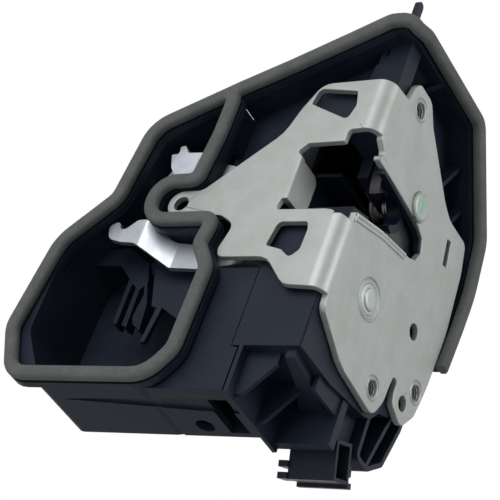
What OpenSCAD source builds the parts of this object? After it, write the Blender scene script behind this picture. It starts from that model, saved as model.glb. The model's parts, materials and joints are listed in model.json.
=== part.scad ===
// Door latch with an electric lock actuator, for the rear edge of a vehicle door.
// All sizes are in millimetres. X points out of the shut face of the door, Y runs
// from the trim side to the outer skin, and Z is up as fitted.
// Every piece is drawn from the bend corner of the latch plate: the trim-side face
// of the plate is Y = 0, its shut face is X = 0. The whole is then moved, so that
// the origin is the centre of the upper fixing hole on the shut face.

/* [Latch plate] */
// Thickness of the latch plate
plate_t = 2.5; // [2:0.1:3]
// Outer radius of the bend between the two faces of the plate
bend_r = 5.5; // [4:0.5:8]
// Diameter of the three tapped fixing holes
fixing_d = 6; // [5:0.5:7]
// Outer diameter of the collar drawn in behind each fixing hole
collar_d = 10; // [9:0.5:11]
// Length of that collar behind the plate
collar_h = 3.5; // [2:0.5:4.5]
// Diameter of the hole in the trim-side ear
ear_hole_d = 5.7; // [4.5:0.1:6.5]
// Depth of the flange that is turned in beside the slot
flange_h = 11; // [6:1:12]
// Height of the coined lip along the lower edge of the slot
lip_h = 0.5; // [0.3:0.1:1]

/* [Striker slot] */
// Width of the slot at its closed end
slot_w = 13; // [12:0.5:14]
// Depth of the slot from the trim-side face to its closed end
slot_l = 50; // [46:1:52]
// Height of the slot's middle line above the bend corner
slot_z = 8.5; // [8:0.5:9]

/* [Catch and pawl] */
// Diameter of both rivet pins
pin_d = 8; // [7:0.5:9]
// Diameter of the rivet heads on the shut face
head_d = 10.5; // [10:0.5:12]
// Height of the rivet heads
head_h = 1.4; // [1:0.1:2]
// Outer radius of the catch
catch_r = 22; // [20:0.5:22.5]
// Thickness of the catch
catch_t = 4; // [3:0.5:4.5]
// Thickness of the cover on each face of the catch
skin_t = 0.7; // [0.5:0.1:0.8]
// Width of the mouth that holds the striker
mouth_w = 10.6; // [10:0.2:12]
// Depth of the notches that the pawl drops into
notch_h = 3.5; // [2.5:0.5:4]
// Width of the pawl's arm
pawl_w = 7.2; // [6:0.4:9]
// Wire diameter of the catch and pawl springs
spring_d = 1.2; // [0.8:0.1:1.4]
// Thickness of the inner plate that ties the rivets together
back_t = 2; // [1.5:0.25:2.5]

/* [Housings] */
// Wall thickness of the moulded housings
wall = 2.5; // [2:0.25:3]
// Depth of the cable tray behind the trim-side face
tray_depth = 33.5; // [32:0.5:40]
// Depth of the latch arm behind the shut face
arm_depth = 40; // [40:1:44]
// Depth of the floor behind the release levers
lever_floor = 13; // [12.5:0.5:15]
// Thickness of the latch housing behind the catch and pawl
slab_t = 11.3; // [11:0.1:12]
// Thickness of the ribs in the open bay
rib_t = 1.6; // [1.2:0.1:2]
// Number of ribs in the open bay
bay_ribs = 2; // [1:1:3]
// Diameter of the drain hole in the bottom wall
drain_d = 7; // [5:0.5:8]

/* [Seal] */
// Width of the foam seal
seal_w = 5.2; // [5:0.1:5.6]
// Height that the seal stands proud of its rim
seal_h = 4.4; // [3.5:0.1:5]
// Thickness of the rim under the seal on the trim side
rim_t = 3; // [1.6:0.2:3.6]

/* [Release levers] */
// Thickness of the steel release lever
steel_t = 2; // [1.5:0.1:2.2]
// Thickness of the plastic release lever
white_t = 3; // [2.4:0.1:3]
// Diameter of the lever pins
lever_pin_d = 5; // [4:0.5:6]

/* [Lock drive] */
// Diameter of the lock motor
motor_d = 16.5; // [14:0.5:17]
// Length of the lock motor
motor_l = 30; // [26:1:31]
// Teeth on the worm wheel
wheel_teeth = 36; // [32:1:38]
// Pitch of the worm
worm_pitch = 2.5; // [2.3:0.05:2.55]
// Radius of the round thread of the worm
worm_r = 2.6; // [2.4:0.1:2.8]
// Width of the worm wheel
wheel_w = 2.4; // [2:0.1:2.6]
// Teeth on the small gear behind the worm wheel
pinion_teeth = 10; // [9:1:11]
// Tooth size of the small gear and the toothed lever
gear_m = 1.5; // [1.4:0.05:1.55]

/* [Plug socket] */
// Outer length of the socket's mouth
socket_a = 14; // [13:0.5:16]
// Outer width of the socket's mouth
socket_b = 10; // [9:0.5:11]
// Length of the socket
socket_l = 18; // [15:0.5:19]
// Wall of the socket
socket_wall = 1.3; // [1:0.1:1.6]
// Number of contacts in one row
contacts = 4; // [3:1:5]

/* [Fasteners] */
// Shank diameter of the housing screws
screw_d = 3; // [2.5:0.1:3.5]

/* [Hidden] */
$fn = 48;

// Clearances
run_gap = 0.05;        // radial, between a pin and what turns on it
head_seat = 0.3;       // depth of the coined seat under a rivet head
fit_gap = 0.3;         // between pieces that are assembled side by side
big = 400;

// Centres on the shut face, as [Y, Z]
upper_fixing = [22, 50];
lower_fixing = [47.5, -49.3];
rear_fixing = [74.3, -34];
fixings = [upper_fixing, lower_fixing, rear_fixing];
catch_at = [40, 21];
pawl_at = [29, -26];
// The trim-side ear, as [X, Z]
ear_at = [-68.3, -5];
ear_r = 5.4;

// Layers behind the shut face, as X
slab_x = -plate_t - 0.2;             // front of the latch housing
catch_x = -4 - catch_t;              // back of the steel catch
recess_x = -9.4;                     // floor of the catch recess
pocket_x = -12.4;                    // floor of the spring pockets
slab_back = slab_x - slab_t;
back_x = slab_back - 0.2 - back_t;   // back of the inner plate
base_t = 2;
base_x = back_x - 0.2 - base_t;      // back of the component carrier's base
tub_back = -29;
arm_x = -arm_depth;

// Small shape helpers
function unit(v) = v / norm(v);
function to2(p) = [p[0], p[1]];
function polar(c, r, a) = c + r * [cos(a), sin(a)];
function turned(a0, a1) = (a1 - a0 + 540) % 360 - 180;

// One corner of an outline, given as [x, y, radius], rounded with a chord for every few degrees
step_a = 14;
function corner(a, b, c) =
    len(b) < 3 || b[2] == 0 ? [to2(b)] :
    let (ab = to2(a) - to2(b), cb = to2(c) - to2(b), u = unit(ab), v = unit(cb),
         half = acos(u * v) / 2, l = min(b[2] / tan(half), 0.49 * min(norm(ab), norm(cb))),
         r = l * tan(half), mid = to2(b) + unit(u + v) * r / sin(half),
         s = to2(b) + u * l - mid, e = to2(b) + v * l - mid,
         a0 = atan2(s.y, s.x), sweep = turned(a0, atan2(e.y, e.x)),
         n = max(1, round(abs(sweep) / step_a)))
    [for (k = [0:n]) polar(mid, r, a0 + sweep * k / n)];

// A closed outline from its corners
function outline(p) =
    [for (i = [0:len(p) - 1]) each corner(p[(i + len(p) - 1) % len(p)], p[i], p[(i + 1) % len(p)])];

// An open line from its corners
function open_line(p) =
    [for (i = [0:len(p) - 1])
        each (i == 0 || i == len(p) - 1 ? [to2(p[i])] : corner(p[i - 1], p[i], p[i + 1]))];

// A line moved sideways by d, to the right of its direction
function beside(p, d, closed) =
    [for (i = [0:len(p) - 1])
        let (n = len(p),
             before = i > 0 ? p[i - 1] : closed ? p[n - 1] : 2 * p[0] - p[1],
             after = i < n - 1 ? p[i + 1] : closed ? p[0] : 2 * p[n - 1] - p[n - 2],
             u = unit(p[i] - before), v = unit(after - p[i]), t = unit(u + v),
             stretch = 1 / max(0.5, t * v))
        p[i] + d * stretch * [t.y, -t.x]];

function backwards(p) = [for (i = [len(p) - 1:-1:0]) p[i]];

module ring_strip(p, w) difference() {
    polygon(beside(p, w / 2, true));
    polygon(beside(p, -w / 2, true));
}
module strip(p, w) polygon(concat(beside(p, w / 2, false), backwards(beside(p, -w / 2, false))));

// A flat shape drawn in X and Z, from depth y0 to y0 + t
module facing_trim(y0, t) translate([0, y0 + t, 0]) rotate([90, 0, 0]) linear_extrude(t) children();
// A flat shape drawn in Y and Z, from x0 to x0 + t
module facing_shut(x0, t) translate([x0, 0, 0]) rotate([90, 0, 90]) linear_extrude(t) children();
// Round bars along X, Y and Z
module bar_x(at, x0, l, d) translate([x0, at.x, at.y]) rotate([0, 90, 0]) cylinder(h = l, d = d);
module bar_y(at, y0, l, d) translate([at.x, y0, at.y]) rotate([-90, 0, 0]) cylinder(h = l, d = d);
module box(lo, hi) translate(lo) cube(hi - lo);

// The middle line of the seal round the cable tray, in X and Z
ring_line = outline([
    [-61.3, 43.4, 3], [-90.6, 28.2, 12], [-94.4, -3.5, 8], [-111.5, -22, 16],
    [-117, -58.5, 10], [-109.5, -77.3, 8], [-54, -77.3, 12], [-46.6, -67, 9],
    [-45.8, -34, 7], [-52, -24.5, 4], [-50.2, -13.5, 3], [-78.8, -13.5, 8],
    [-78.8, 3, 8], [-63.6, 3.3, 3], [-61.3, 24, 20]]);
// The middle line of the tray's own wall, which leaves the seal's line at the lower corner
tray_line = outline([
    [-61.3, 43.4, 3], [-90.6, 28.2, 12], [-94.4, -3.5, 8], [-111.5, -22, 16],
    [-112.5, -58.5, 10], [-101, -77.3, 3], [-54, -77.3, 12], [-46.6, -67, 9],
    [-45.8, -34, 7], [-52, -24.5, 4], [-50.2, -13.5, 3], [-78.8, -13.5, 8],
    [-78.8, 3, 8], [-63.6, 3.3, 3], [-61.3, 24, 20]]);
// The branch over the top, from the ring to the corner, in X and Z
corner_z = 71.2;
side_rim_x = -1.2;
top_line = open_line([[-62, 42.9], [-41, 53.3, 40], [-21, 63.7, 40], [-7, corner_z, 6],
                      [side_rim_x + seal_h, corner_z]]);
// The branch round the shut face, in Y and Z
side_line = open_line([[-seal_h, corner_z], [2.5, corner_z, 4], [10, 73.7, 8], [58.6, 73.3, 5], [84, 37.5, 12],
                       [86.8, 16, 40], [85.9, 1, 40], [84, -18]]);
// The panel that closes the gap between the side branch and the latch housing
panel_y = 8;
side_area = concat([[panel_y, 40], [panel_y, 72.8]], [for (p = side_line) if (p.x > panel_y + 3) p],
                   [[60, -18], [60, 20]]);

/*
   The slot, in Y and Z: open towards the trim side, round at its closed end.
*/
slot_end = slot_l - slot_w / 2;
slot_shut = outline([
    [-2, slot_z + 17], [5, slot_z + 16.2, 1], [10.8, slot_z + 12.4, 1.5], [5.6, slot_z + 8.8, 1],
    [20, slot_z + 8.4, 10], [slot_end, slot_z + slot_w / 2], [slot_l - 1.9, slot_z + 4.6],
    [slot_l, slot_z], [slot_l - 1.9, slot_z - 4.6], [slot_end, slot_z - slot_w / 2],
    [22.6, slot_z - 10, 20], [5.6, slot_z - 15, 10], [-2, slot_z - 21]]);
// The same slot in the trim-side face, in X and Z
slot_trim = outline([
    [1, slot_z + 17], [-10.5, slot_z + 16.3, 1], [-10.9, slot_z + 11.3, 0.8], [-25, slot_z + 11, 1.2],
    [-28, slot_z + 7.8, 1], [-25.6, slot_z + 5.4, 0.5], [-25.6, slot_z - 12.5],
    [-27.6, slot_z - 12.5], [-28.6, slot_z - 15, 1.5], [-27.6, slot_z - 17.2, 1],
    [-8, slot_z - 17.4, 6], [1, slot_z - 20]]);
flange_x = -25.6;

plate_trim = outline([
    [-bend_r, 46.7], [-27.5, 46, 6], [-33, 35, 12], [-36.5, 24.6, 14], [-61.5, 0.5, 5],
    [ear_at.x, ear_at.y + ear_r], [ear_at.x, ear_at.y - ear_r], [-50, -10.5, 4], [-43.2, -14.5, 4],
    [-46, -24.6, 2.5], [-45, -28.2, 2], [-25.5, -28.3, 8], [-15.5, -39.7, 6], [-bend_r, -40.4]]);
plate_shut = outline([
    [bend_r, 46.7], [13.2, 47.5, 2], [15, 55, 3], [17, 57.8, 4], [27, 57.8, 5], [33, 50.6, 4],
    [55, 34.4, 8], [61.5, 31.2, 8], [76.3, 31.2, 3], [79.6, 20, 15], [81.9, -5, 25],
    [80.4, -27, 25], [77.6, -42, 5], [71.5, -50, 3.5], [62, -46.4, 2.5], [60.6, -41.2],
    [57.6, -41.2], [56.2, -50, 4], [52.5, -57.4, 5], [26, -55, 14], [6, -45.5, 8],
    [bend_r, -40.4]]);
upper_window = outline([[-28.2, 43.9, 2.2], [-12.6, 41.8, 1.2], [-11.2, 35.5, 1.5],
                        [-13, 29.4, 1.6], [-29.6, 37.2, 1.2]]);
lower_window = outline([[-25.3, -14, 2], [-14, -14.2, 1.5], [-13, -17.5, 1], [-13.3, -25.6, 2],
                        [-16.4, -28.8, 1.8], [-20.6, -25.4, 3], [-27.3, -23.6, 1.2]]);
kidney = outline([[61, -38, 1.6], [57.6, -38, 1.6], [56.8, -45, 2], [57.5, -60], [59.4, -60],
                  [59.2, -47, 2], [61, -43, 2]]);
reset_at = [68.2, -42.4];

module latch_plate() color([0.66, 0.68, 0.66]) {
    difference() {
        union() {
            facing_trim(0, plate_t) union() {
                polygon(plate_trim);
                translate(ear_at) circle(ear_r);
            }
            facing_shut(-plate_t, plate_t) polygon(plate_shut);
            // The bend
            translate([-bend_r, bend_r, -40.4]) difference() {
                cylinder(h = 87.1, r = bend_r);
                translate([0, 0, -1]) cylinder(h = big, r = bend_r - plate_t);
                box([-big, -big, -1], [0, big, big]);
                box([-big, 0, -1], [big, big, big]);
            }
            // Collars drawn in behind the fixing holes
            for (at = fixings) bar_x(at, -plate_t - collar_h, collar_h + 0.5, collar_d);
        }
        facing_shut(-bend_r, 2 * bend_r) polygon(slot_shut);
        facing_trim(-1, bend_r + 1) polygon(slot_trim);
        facing_trim(-1, plate_t + 2) polygon(upper_window);
        facing_trim(-1, plate_t + 2) polygon(lower_window);
        bar_y(ear_at, -1, plate_t + 2, ear_hole_d);
        facing_shut(-plate_t - 1, plate_t + 2) polygon(kidney);
        for (at = fixings) {
            bar_x(at, -plate_t - collar_h - 1, big, fixing_d);
            coined_ring(at, fixing_d / 2 + 0.5);
        }
        coined_ring(pawl_at, head_d / 2 + 1.4);
        for (at = [catch_at, pawl_at]) {
            bar_x(at, -plate_t - 1, plate_t + 2, pin_d);
            bar_x(at, -head_seat, 1, head_d + 0.6);
        }
        bar_x([61.2, -17.3], -plate_t - 1, plate_t + 2, 6);
        bar_x(reset_at, -plate_t - 1, plate_t + 2, 5.6);
        translate([0, 66.2, 20]) rotate([12, 0, 0]) box([-plate_t - 1, -1.5, -5], [1, 1.5, 5]);
    }
    // The flange turned in beside the slot
    difference() {
        box([flange_x - plate_t, plate_t - 0.5, slot_z - 12.3], [flange_x, plate_t + flange_h, slot_z + 5]);
        for (z = [slot_z - 12.3, slot_z + 5])
            translate([flange_x, plate_t + flange_h, z]) rotate([45, 0, 0]) cube([12, 3, 3], center = true);
    }
    // The coined lip along the lower edge of the slot
    facing_shut(-0.3, lip_h + 0.3)
        strip(open_line([[5.8, slot_z - 17.6], [24, slot_z - 12, 20], [slot_end - 3, slot_z - slot_w / 2 - 2.2]]), 1.6);
}

// A shallow groove pressed round a hole in the shut face
module coined_ring(at, r) translate([0, at.x, at.y]) rotate([0, 90, 0])
    rotate_extrude() polygon([[r, 0.01], [r + 0.9, 0.01], [r + 0.9, -0.1], [r, -0.5]]);

/*
   Rotary catch. Its angles are measured round its pin from straight down
   towards the outer skin, with the latch open.
*/
mouth_a = -50.4;      // the mouth's direction
leg_a0 = -27;         // where the full radius starts on the striking leg
leg_a1 = 62;          // where it ends
jaw_a = -112;         // far side of the holding jaw
seat_r = 12.7;        // striker's centre when held
half_notch_a = 5;     // start of the half-latched notch
function down(c, r, a) = c + r * [sin(a), -cos(a)];
module sector(c, r, a0, a1) polygon(concat([c], [for (i = [0:12]) down(c, r, a0 + (a1 - a0) * i / 12)]));

module mouth(w) {
    translate(catch_at) rotate(mouth_a) {
        translate([-w / 2, -3 * catch_r]) square([w, 3 * catch_r - seat_r]);
        translate([0, -seat_r]) circle(d = w);
    }
}
module catch_shape(r) {
    intersection() {
        translate(catch_at) circle(r);
        sector(catch_at, 2 * r, jaw_a, leg_a1);
    }
    translate(catch_at) circle(pin_d / 2 + 4.5);
}
module catch() color([0.5, 0.51, 0.52]) difference() {
    facing_shut(catch_x, catch_t) difference() {
        catch_shape(catch_r);
        mouth(mouth_w + 2 * skin_t);
        // Full-latch step at the tip of the striking leg, and the half-latch notch
        difference() {
            sector(catch_at, 2 * catch_r, mouth_a, leg_a0);
            translate(catch_at) circle(catch_r - notch_h);
        }
        difference() {
            sector(catch_at, 2 * catch_r, half_notch_a, half_notch_a + 10);
            translate(catch_at) circle(catch_r - notch_h);
        }
    }
    bar_x(catch_at, catch_x - 1, catch_t + 2, pin_d + 2 * run_gap);
}
// The quiet cover: a lining in the mouth, held by a lip on both faces
module catch_jacket() color([0.09, 0.09, 0.1]) {
    facing_shut(catch_x - skin_t, catch_t + 2 * skin_t) mouth_lining(skin_t);
    for (x = [catch_x - skin_t, catch_x + catch_t]) facing_shut(x, skin_t) mouth_lining(3);
}
module mouth_lining(w) intersection() {
    difference() {
        mouth(mouth_w + 2 * w);
        mouth(mouth_w);
    }
    difference() {
        translate(catch_at) circle(catch_r - notch_h - 0.5);
        translate(catch_at) circle(pin_d / 2 + 1);
    }
}

/*
   Pawl: a hub, an arm that ends against the rim of the catch, and a lug
   that the release lever lifts.
*/
tip_a = 30;
pawl_tip = down(catch_at, catch_r + fit_gap, tip_a);
pawl_dir = atan2(pawl_tip.y - pawl_at.y, pawl_tip.x - pawl_at.x);
lug_end = [9.8, -30.6];
lug_w = 6;
lug_dir = atan2(lug_end.y - pawl_at.y, lug_end.x - pawl_at.x);
module pawl() color([0.55, 0.56, 0.57]) difference() {
    facing_shut(catch_x, catch_t) {
        difference() {
            translate(pawl_at) union() {
                circle(pin_d / 2 + 3);
                rotate(pawl_dir) translate([0, -pawl_w / 2]) square([norm(pawl_tip - pawl_at) + 3, pawl_w]);
            }
            translate(catch_at) circle(catch_r + fit_gap, $fn = 96);
        }
        translate(pawl_at) rotate(lug_dir) translate([0, 0.2 - lug_w / 2])
            square([norm(lug_end - pawl_at), lug_w - 0.4]);
        translate(lug_end) circle(d = lug_w);
    }
    bar_x(pawl_at, catch_x - 1, catch_t + 2, pin_d + 2 * run_gap);
}

// A rivet: a domed head on the shut face, its shank, and the closed end inside
module rivet(at) {
    bar_x(at, back_x - 1.2, 1.2 - back_x, pin_d);
    bar_x(at, back_x - 1.2, 1.2, pin_d + 2);
    translate([0, at.x, at.y]) rotate([0, 90, 0]) rotate_extrude()
        polygon([[0, -head_seat], [head_d / 2, -head_seat], [head_d / 2, head_h * 0.45],
                 [head_d / 2 - 0.5, head_h * 0.8], [head_d / 2 - 1.2, head_h], [0, head_h]]);
}
module catch_pin() color([0.72, 0.73, 0.72]) rivet(catch_at);
module pawl_pin() color([0.72, 0.73, 0.72]) rivet(pawl_at);

// A torsion spring of two turns round a rivet, with two straight legs
coil_r = pin_d / 2 + 2.2;
module torsion_spring(at, x0, fixed_a, moving_a, leg) {
    for (i = [0:1]) translate([x0 - i * spring_d * 0.85, at.x, at.y]) {
        rotate([0, 90, 0]) rotate_extrude() translate([coil_r, 0]) circle(d = spring_d, $fn = 24);
        rotate([i == 0 ? moving_a : fixed_a, 0, 0]) translate([0, 0, coil_r])
            rotate([-55, 0, 0]) cylinder(h = leg, d = spring_d * 0.9, $fn = 24);
    }
}
spring_x = recess_x - spring_d / 2 - 0.1;
module catch_spring() color([0.6, 0.6, 0.58]) torsion_spring(catch_at, spring_x, 200, 20, 4);
module pawl_spring() color([0.6, 0.6, 0.58]) torsion_spring(pawl_at, spring_x, 200, 30, 4);

// Inner steel plate, cut away round the slot and the lever side
module back_plate() color([0.6, 0.62, 0.6]) facing_shut(back_x, back_t) difference() {
    polygon(outline([[30, 38, 4], [52, 30, 5], [58, 16, 5], [58, 0, 4], [50, -22, 8], [40, -36, 5],
                     [20, -36, 5], [16, -22, 4], [20, -8, 2], [54, -2, 2], [55, 18.5, 2],
                     [28, 19.5, 2]]));
    for (at = [catch_at, pawl_at]) translate(at) circle(d = pin_d);
    for (at = bosses) translate(at) circle(d = boss_d + 2 * fit_gap);
}

/*
   Slot liner: the black guide that lines the striker's way in behind the plate.
*/
liner_t = 1.5;
liner_top = slot_z + 7.6;
liner_low = slot_z - 9.6;
liner_end = slot_l + 0.5;
liner_far = -27.9;
liner_front = back_x - 1.6;
module liner_area(grow) polygon(outline([
    [plate_t + flange_h + 1.5, liner_top + grow], [liner_end + grow - 3, liner_top - 1 + grow, 5],
    [liner_end + grow, slot_z], [liner_end + grow - 3, slot_z - 6.6 - grow, 5],
    [20, liner_low - grow, 10], [plate_t + flange_h + 1.5, liner_low - 3 - grow]]));
module slot_liner() color([0.06, 0.07, 0.09]) {
    difference() {
        facing_shut(liner_far - liner_t, liner_front - liner_far + liner_t) liner_area(liner_t);
        facing_shut(liner_far, big) liner_area(0);
        box([liner_far, 0, liner_low - 3.2], [0, plate_t + flange_h + 2, liner_top - 0.01]);
    }
    // The ramp just behind the mouth of the slot
    difference() {
        facing_shut(liner_front - 1, slab_x - liner_front + 0.5) polygon([[7.2, slot_z - 17.8], [17.6, slot_z - 13.6],
            [17.6, slot_z - 8.6], [7.2, slot_z - 11.5]]);
        bar_x([13.5, slot_z - 12.6], slab_x - 2, 6, 1.4);
    }
}
// Rubber stop at the closed end of the slot
module bumper() color([0.05, 0.05, 0.05]) difference() {
    facing_shut(liner_far + 0.5, liner_front - liner_far - 1) polygon(outline([
        [liner_end - 5, slot_z + 4, 0.8], [liner_end - 2.2, slot_z + 3, 0.6], [liner_end - 0.4, slot_z],
        [liner_end - 2.2, slot_z - 3, 0.6], [liner_end - 5, slot_z - 4, 0.8], [liner_end - 3.6, slot_z]]));
    bar_x([liner_end - 1.9, slot_z], -big, 2 * big, 1.2);
}

/*
   Latch housing: the black moulding behind the plate. A slab with the catch
   recess, a tub behind it, the wall on the trim side, the ribbed bay below,
   and the open block at the lower rear corner.
*/
housing_top = 44;
housing_low = -61.3;
housing_y = 4.6;
housing_area = outline([
    [housing_y, 44], [13, 44, 2], [15.5, 52, 3], [18, 56, 3], [26.5, 56, 4], [32, 49, 3], [54, 32.6, 6],
    [61, 29.4, 6], [75.4, 29.4, 3], [78, 19, 10], [80, -5, 20], [78.6, -27, 20], [76, -40, 4],
    [66, -49.5, 3], [60, -51.5, 3], [56.5, -56, 3], [52, -58, 4], [27.5, housing_low],
    [housing_y, housing_low]]);
recess_area = outline([
    [5.5, -40, 2], [24, -40, 3], [34, -38, 6], [62, -12, 4], [66, 4, 4], [62, 20, 4],
    [catch_at.x + 10, 3], [catch_at.x - 12, 4], [20, -16, 4], [12, -18, 3], [5.5, -21, 2]]);
bosses = [[tray_depth + 10.5, 36], [73, 23.5], [74.2, -31], [tray_depth + 6.5, -56.3]];
boss_d = 6;
lever_window = [[0, 7, -45], [0, 12.2, -27]];
trim_wall_x = -27.6;
module latch_housing() color([0.05, 0.06, 0.08]) {
    difference() {
        union() {
            // The slab behind the shut face
            difference() {
                facing_shut(slab_back, slab_t) polygon(housing_area);
                facing_shut(recess_x, big) union() {
                    translate(catch_at) circle(catch_r + 1);
                    polygon(recess_area);
                }
                bar_x(catch_at, pocket_x, big, 20);
                bar_x(pawl_at, pocket_x + 0.2, big, 20);
            }
            // The tub's wall behind the slab
            difference() {
                facing_shut(tub_back, slab_back - tub_back + 0.5) polygon(housing_area);
                facing_shut(tub_back - 1, big) polygon(beside(housing_area, 1.8, true));
            }
            for (at = bosses) bar_x(at, arm_x + wall + 0.2, slab_back - arm_x - wall, boss_d);
            // The wall on the trim side
            for (z = [[22, housing_top], [housing_low, -12.5]])
                box([tub_back, 4, z[0]], [slab_x - 0.6, 6, z[1]]);
            bay();
            rear_block();
        }
        // The striker's way through, the rivets and the fixing collars
        facing_shut(-big / 2, big) liner_area(liner_t + fit_gap);
        box([-big, -1, slot_z - 18.3], [1, 18.2, slot_z + 17.5]);
        for (at = [catch_at, pawl_at]) bar_x(at, -big / 2, big, pin_d + 0.4);
        for (i = [0:2]) bar_x(fixings[i], slab_x - collar_h - 1 - 0.5 * i, big, collar_d + 2 * fit_gap);
        bar_x(reset_at, slab_x - 4, big, 5);
        for (at = bosses) bar_x(at, arm_x, 14, screw_d);
        // Room for the coil round the lever's pin, the ways in for the lever and for the carrier's tail
        box([tub_back - 1, 3, outer_pivot.y - 6], [trim_wall_x, 7.2, outer_pivot.y + 6]);
        box([-big, lever_window[0].y, lever_window[0].z], [1, lever_window[1].y, lever_window[1].z]);
        box([base_x - fit_gap, tail_y[0] - fit_gap, housing_low - 3], [-7.7, tail_y[1] + fit_gap, tail_top + 1]);
    }
}
// The open bay under the housing: a side wall, an end wall and slanted ribs
bay_low = -79.5;
bay_y = [4, 41.3];
bay_left = -26;
bay_ridge = -12;
bay_web = -64.6;
module bay() {
    box([bay_left, bay_y[0], bay_low], [bay_left + rib_t, bay_y[1], housing_low + 1]);
    box([bay_left, bay_y[1] - 3.6, -78], [-3, bay_y[1], housing_low + 1]);
    for (i = [0:bay_ribs - 1]) let (y = bay_y[0] + 4.3 + (bay_y[1] - bay_y[0] - 4.3) * i / bay_ribs)
        facing_trim(y, rib_t) polygon([[bay_left + 0.5, housing_low + 1], [bay_left + 0.5, bay_low + 2],
            [bay_left + 4.3, bay_low + 2], [bay_ridge, bay_web - 1], [bay_ridge, housing_low + 1]]);
    // The web under the slab, and its front flange
    translate([0, 0, bay_web]) linear_extrude(housing_low + 1 - bay_web)
        polygon([[-8.4, 6], [-4.9, 6], [-6.9, 22.8], [-9.4, 39], [-19.4, 39], [-13, 22.9]]);
    box([-5.6, 21.6, -67], [-4, 40, housing_low + 1]);
}
rear_block_area = outline([[57, -48, 3], [57.5, -70.5, 3], [66.5, -71, 3], [75, -64, 3], [79.5, -47, 3],
                           [80, -38, 3], [70, -36, 3]]);
module rear_block() difference() {
    facing_shut(-18, 13.5) polygon(rear_block_area);
    facing_shut(-16, big) difference() {
        polygon(beside(rear_block_area, -1.8, true));
        strip([[71.5, -46], [64.5, -72]], rib_t);
    }
    facing_shut(-big / 2, big) polygon(beside(housing_area, 0.01, true));
}

/*
   Component carrier: a base plate for the electrical pieces, and the plug
   socket on a tail that reaches out below the housing.
*/
tail_y = [44.5, 56];
tail_top = -55.5;
socket_at = [52, -76];
socket_tilt = 22;
socket_x = -5;
module component_carrier() color([0.08, 0.09, 0.12]) {
    facing_shut(base_x, base_t) difference() {
        polygon(outline([[57, 26, 2], [74, 26, 2], [76, 10, 2], [77, -20, 3], [73, -38, 3], [58, -50, 2],
                         [tail_y[1] - 1.2, -50], [tail_y[1] - 1.2, -64], [tail_y[0], -64], [tail_y[0], -57], [18, -57, 2],
                         [14, -30, 2], [14, -12, 2], [54, -8, 2]]));
        translate(pawl_at) circle(d = pin_d + 4);
        for (at = bosses) translate(at) circle(d = boss_d + 2 * fit_gap);
        for (at = [wheel_at, lock_at]) translate(at) circle(d = 4);
    }
    difference() {
        box([base_x, tail_y[0], -70], [-8, tail_y[1], tail_top]);
        box([base_x + 1.6, tail_y[0] + 1.6, -80], [-9.6, tail_y[1] - 1.6, tail_top - 1.6]);
        for (at = bosses) bar_x(at, -big / 2, big, boss_d + 2 * fit_gap);
    }
    motor_seat();
    socket();
}
module socket() translate([socket_x - socket_l, socket_at.x, socket_at.y]) rotate([socket_tilt, 0, 0])
    difference() {
        union() {
            translate([0, -socket_b / 2, -socket_a / 2]) cube([socket_l, socket_b, socket_a]);
            // Latch ears and the lip along the lower edge
            translate([-3.4, -socket_b / 2 - 1, -socket_a / 2]) cube([3.6, socket_b * 0.6, 2.2]);
            translate([-3.4, -socket_b / 2 - 1, -socket_a / 2 + 4]) cube([3.6, socket_b * 0.6, 2.2]);
            translate([-1.8, socket_b / 2 - 0.5, -socket_a / 2 - 1.2]) cube([socket_l + 1.8, 2.4, 2]);
            translate([socket_l - 4, socket_b / 2 - 0.5, -socket_a / 2 + 3]) cube([3, 3.4, 4]);
        }
        translate([2, -socket_b / 2 + socket_wall, -socket_a / 2 + socket_wall])
            cube([big, socket_b - 2 * socket_wall, socket_a - 2 * socket_wall]);
        for (i = [1:contacts]) translate([-5, -0.5, -socket_a / 2 + socket_a * i / (contacts + 1) - 0.5])
            cube([10, 1, 1]);
    }

/*
   Foam seal: a closed ring, the branch over the top, and the branch down
   the shut face. Its feet stand on the rim of the carrier.
*/
// Each step of its rounded section: from and to, as shares of the height, and the share of the width
seal_steps = [[0, 0.5, 1], [0.4, 0.8, 0.8], [0.7, 1, 0.5]];
module seal() color([0.4, 0.4, 0.385]) for (s = seal_steps) {
    facing_trim(-seal_h * s[1], seal_h * (s[1] - s[0])) union() {
        ring_strip(ring_line, seal_w * s[2]);
        strip(top_line, seal_w * s[2]);
    }
    facing_shut(side_rim_x + seal_h * s[0], seal_h * (s[1] - s[0])) strip(side_line, seal_w * s[2]);
}

/*
   Seal carrier: the L-shaped moulding. Its rim follows the seal.
*/
shelf_y = 14;
main_floor_area = [[-62, 3], [-62, 43.4], [-41, 53.4], [-21, 63.8], [-6, 71.2], [-3, 71.2], [-3, 48], [-29.6, 48],
                   [-29.6, -29], [-46, -29], [-50, -14], [-62, -12]];
module carrier_walls() {
    facing_trim(0, tray_depth) ring_strip(tray_line, wall);
    // The rim under the seal, as wide as the seal or as far as the wall
    facing_trim(0, rim_t) difference() {
        polygon(beside(ring_line, seal_w / 2, true));
        intersection() {
            polygon(beside(ring_line, -seal_w / 2, true));
            polygon(beside(tray_line, -wall / 2, true));
        }
    }
    facing_trim(0, tray_depth) strip(top_line_wall, wall);
    facing_trim(0, rim_t) strip(top_line_wall, seal_w);
    facing_shut(-8, 8 + side_rim_x) strip(side_line_front, wall);
    facing_shut(side_rim_x - 1.6, 1.6) strip(side_line_rim, seal_w);
    facing_shut(arm_x, -19 - arm_x + 0.2) strip(side_line_all, wall);
    facing_shut(-19, 19 + side_rim_x) strip(side_line_upper, wall);
}
top_line_wall = open_line([[-62, 42.9], [-41, 53.3, 40], [-21, 63.7, 40], [-7, corner_z, 6],
                           [side_rim_x, corner_z]]);
side_line_rim = open_line([[0, corner_z], [2.5, corner_z, 4], [10, 73.7, 8], [58.6, 73.3, 5], [84, 37.5, 12],
                           [86.8, 16, 40], [85.9, 1, 40], [84.1, -17]]);
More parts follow.
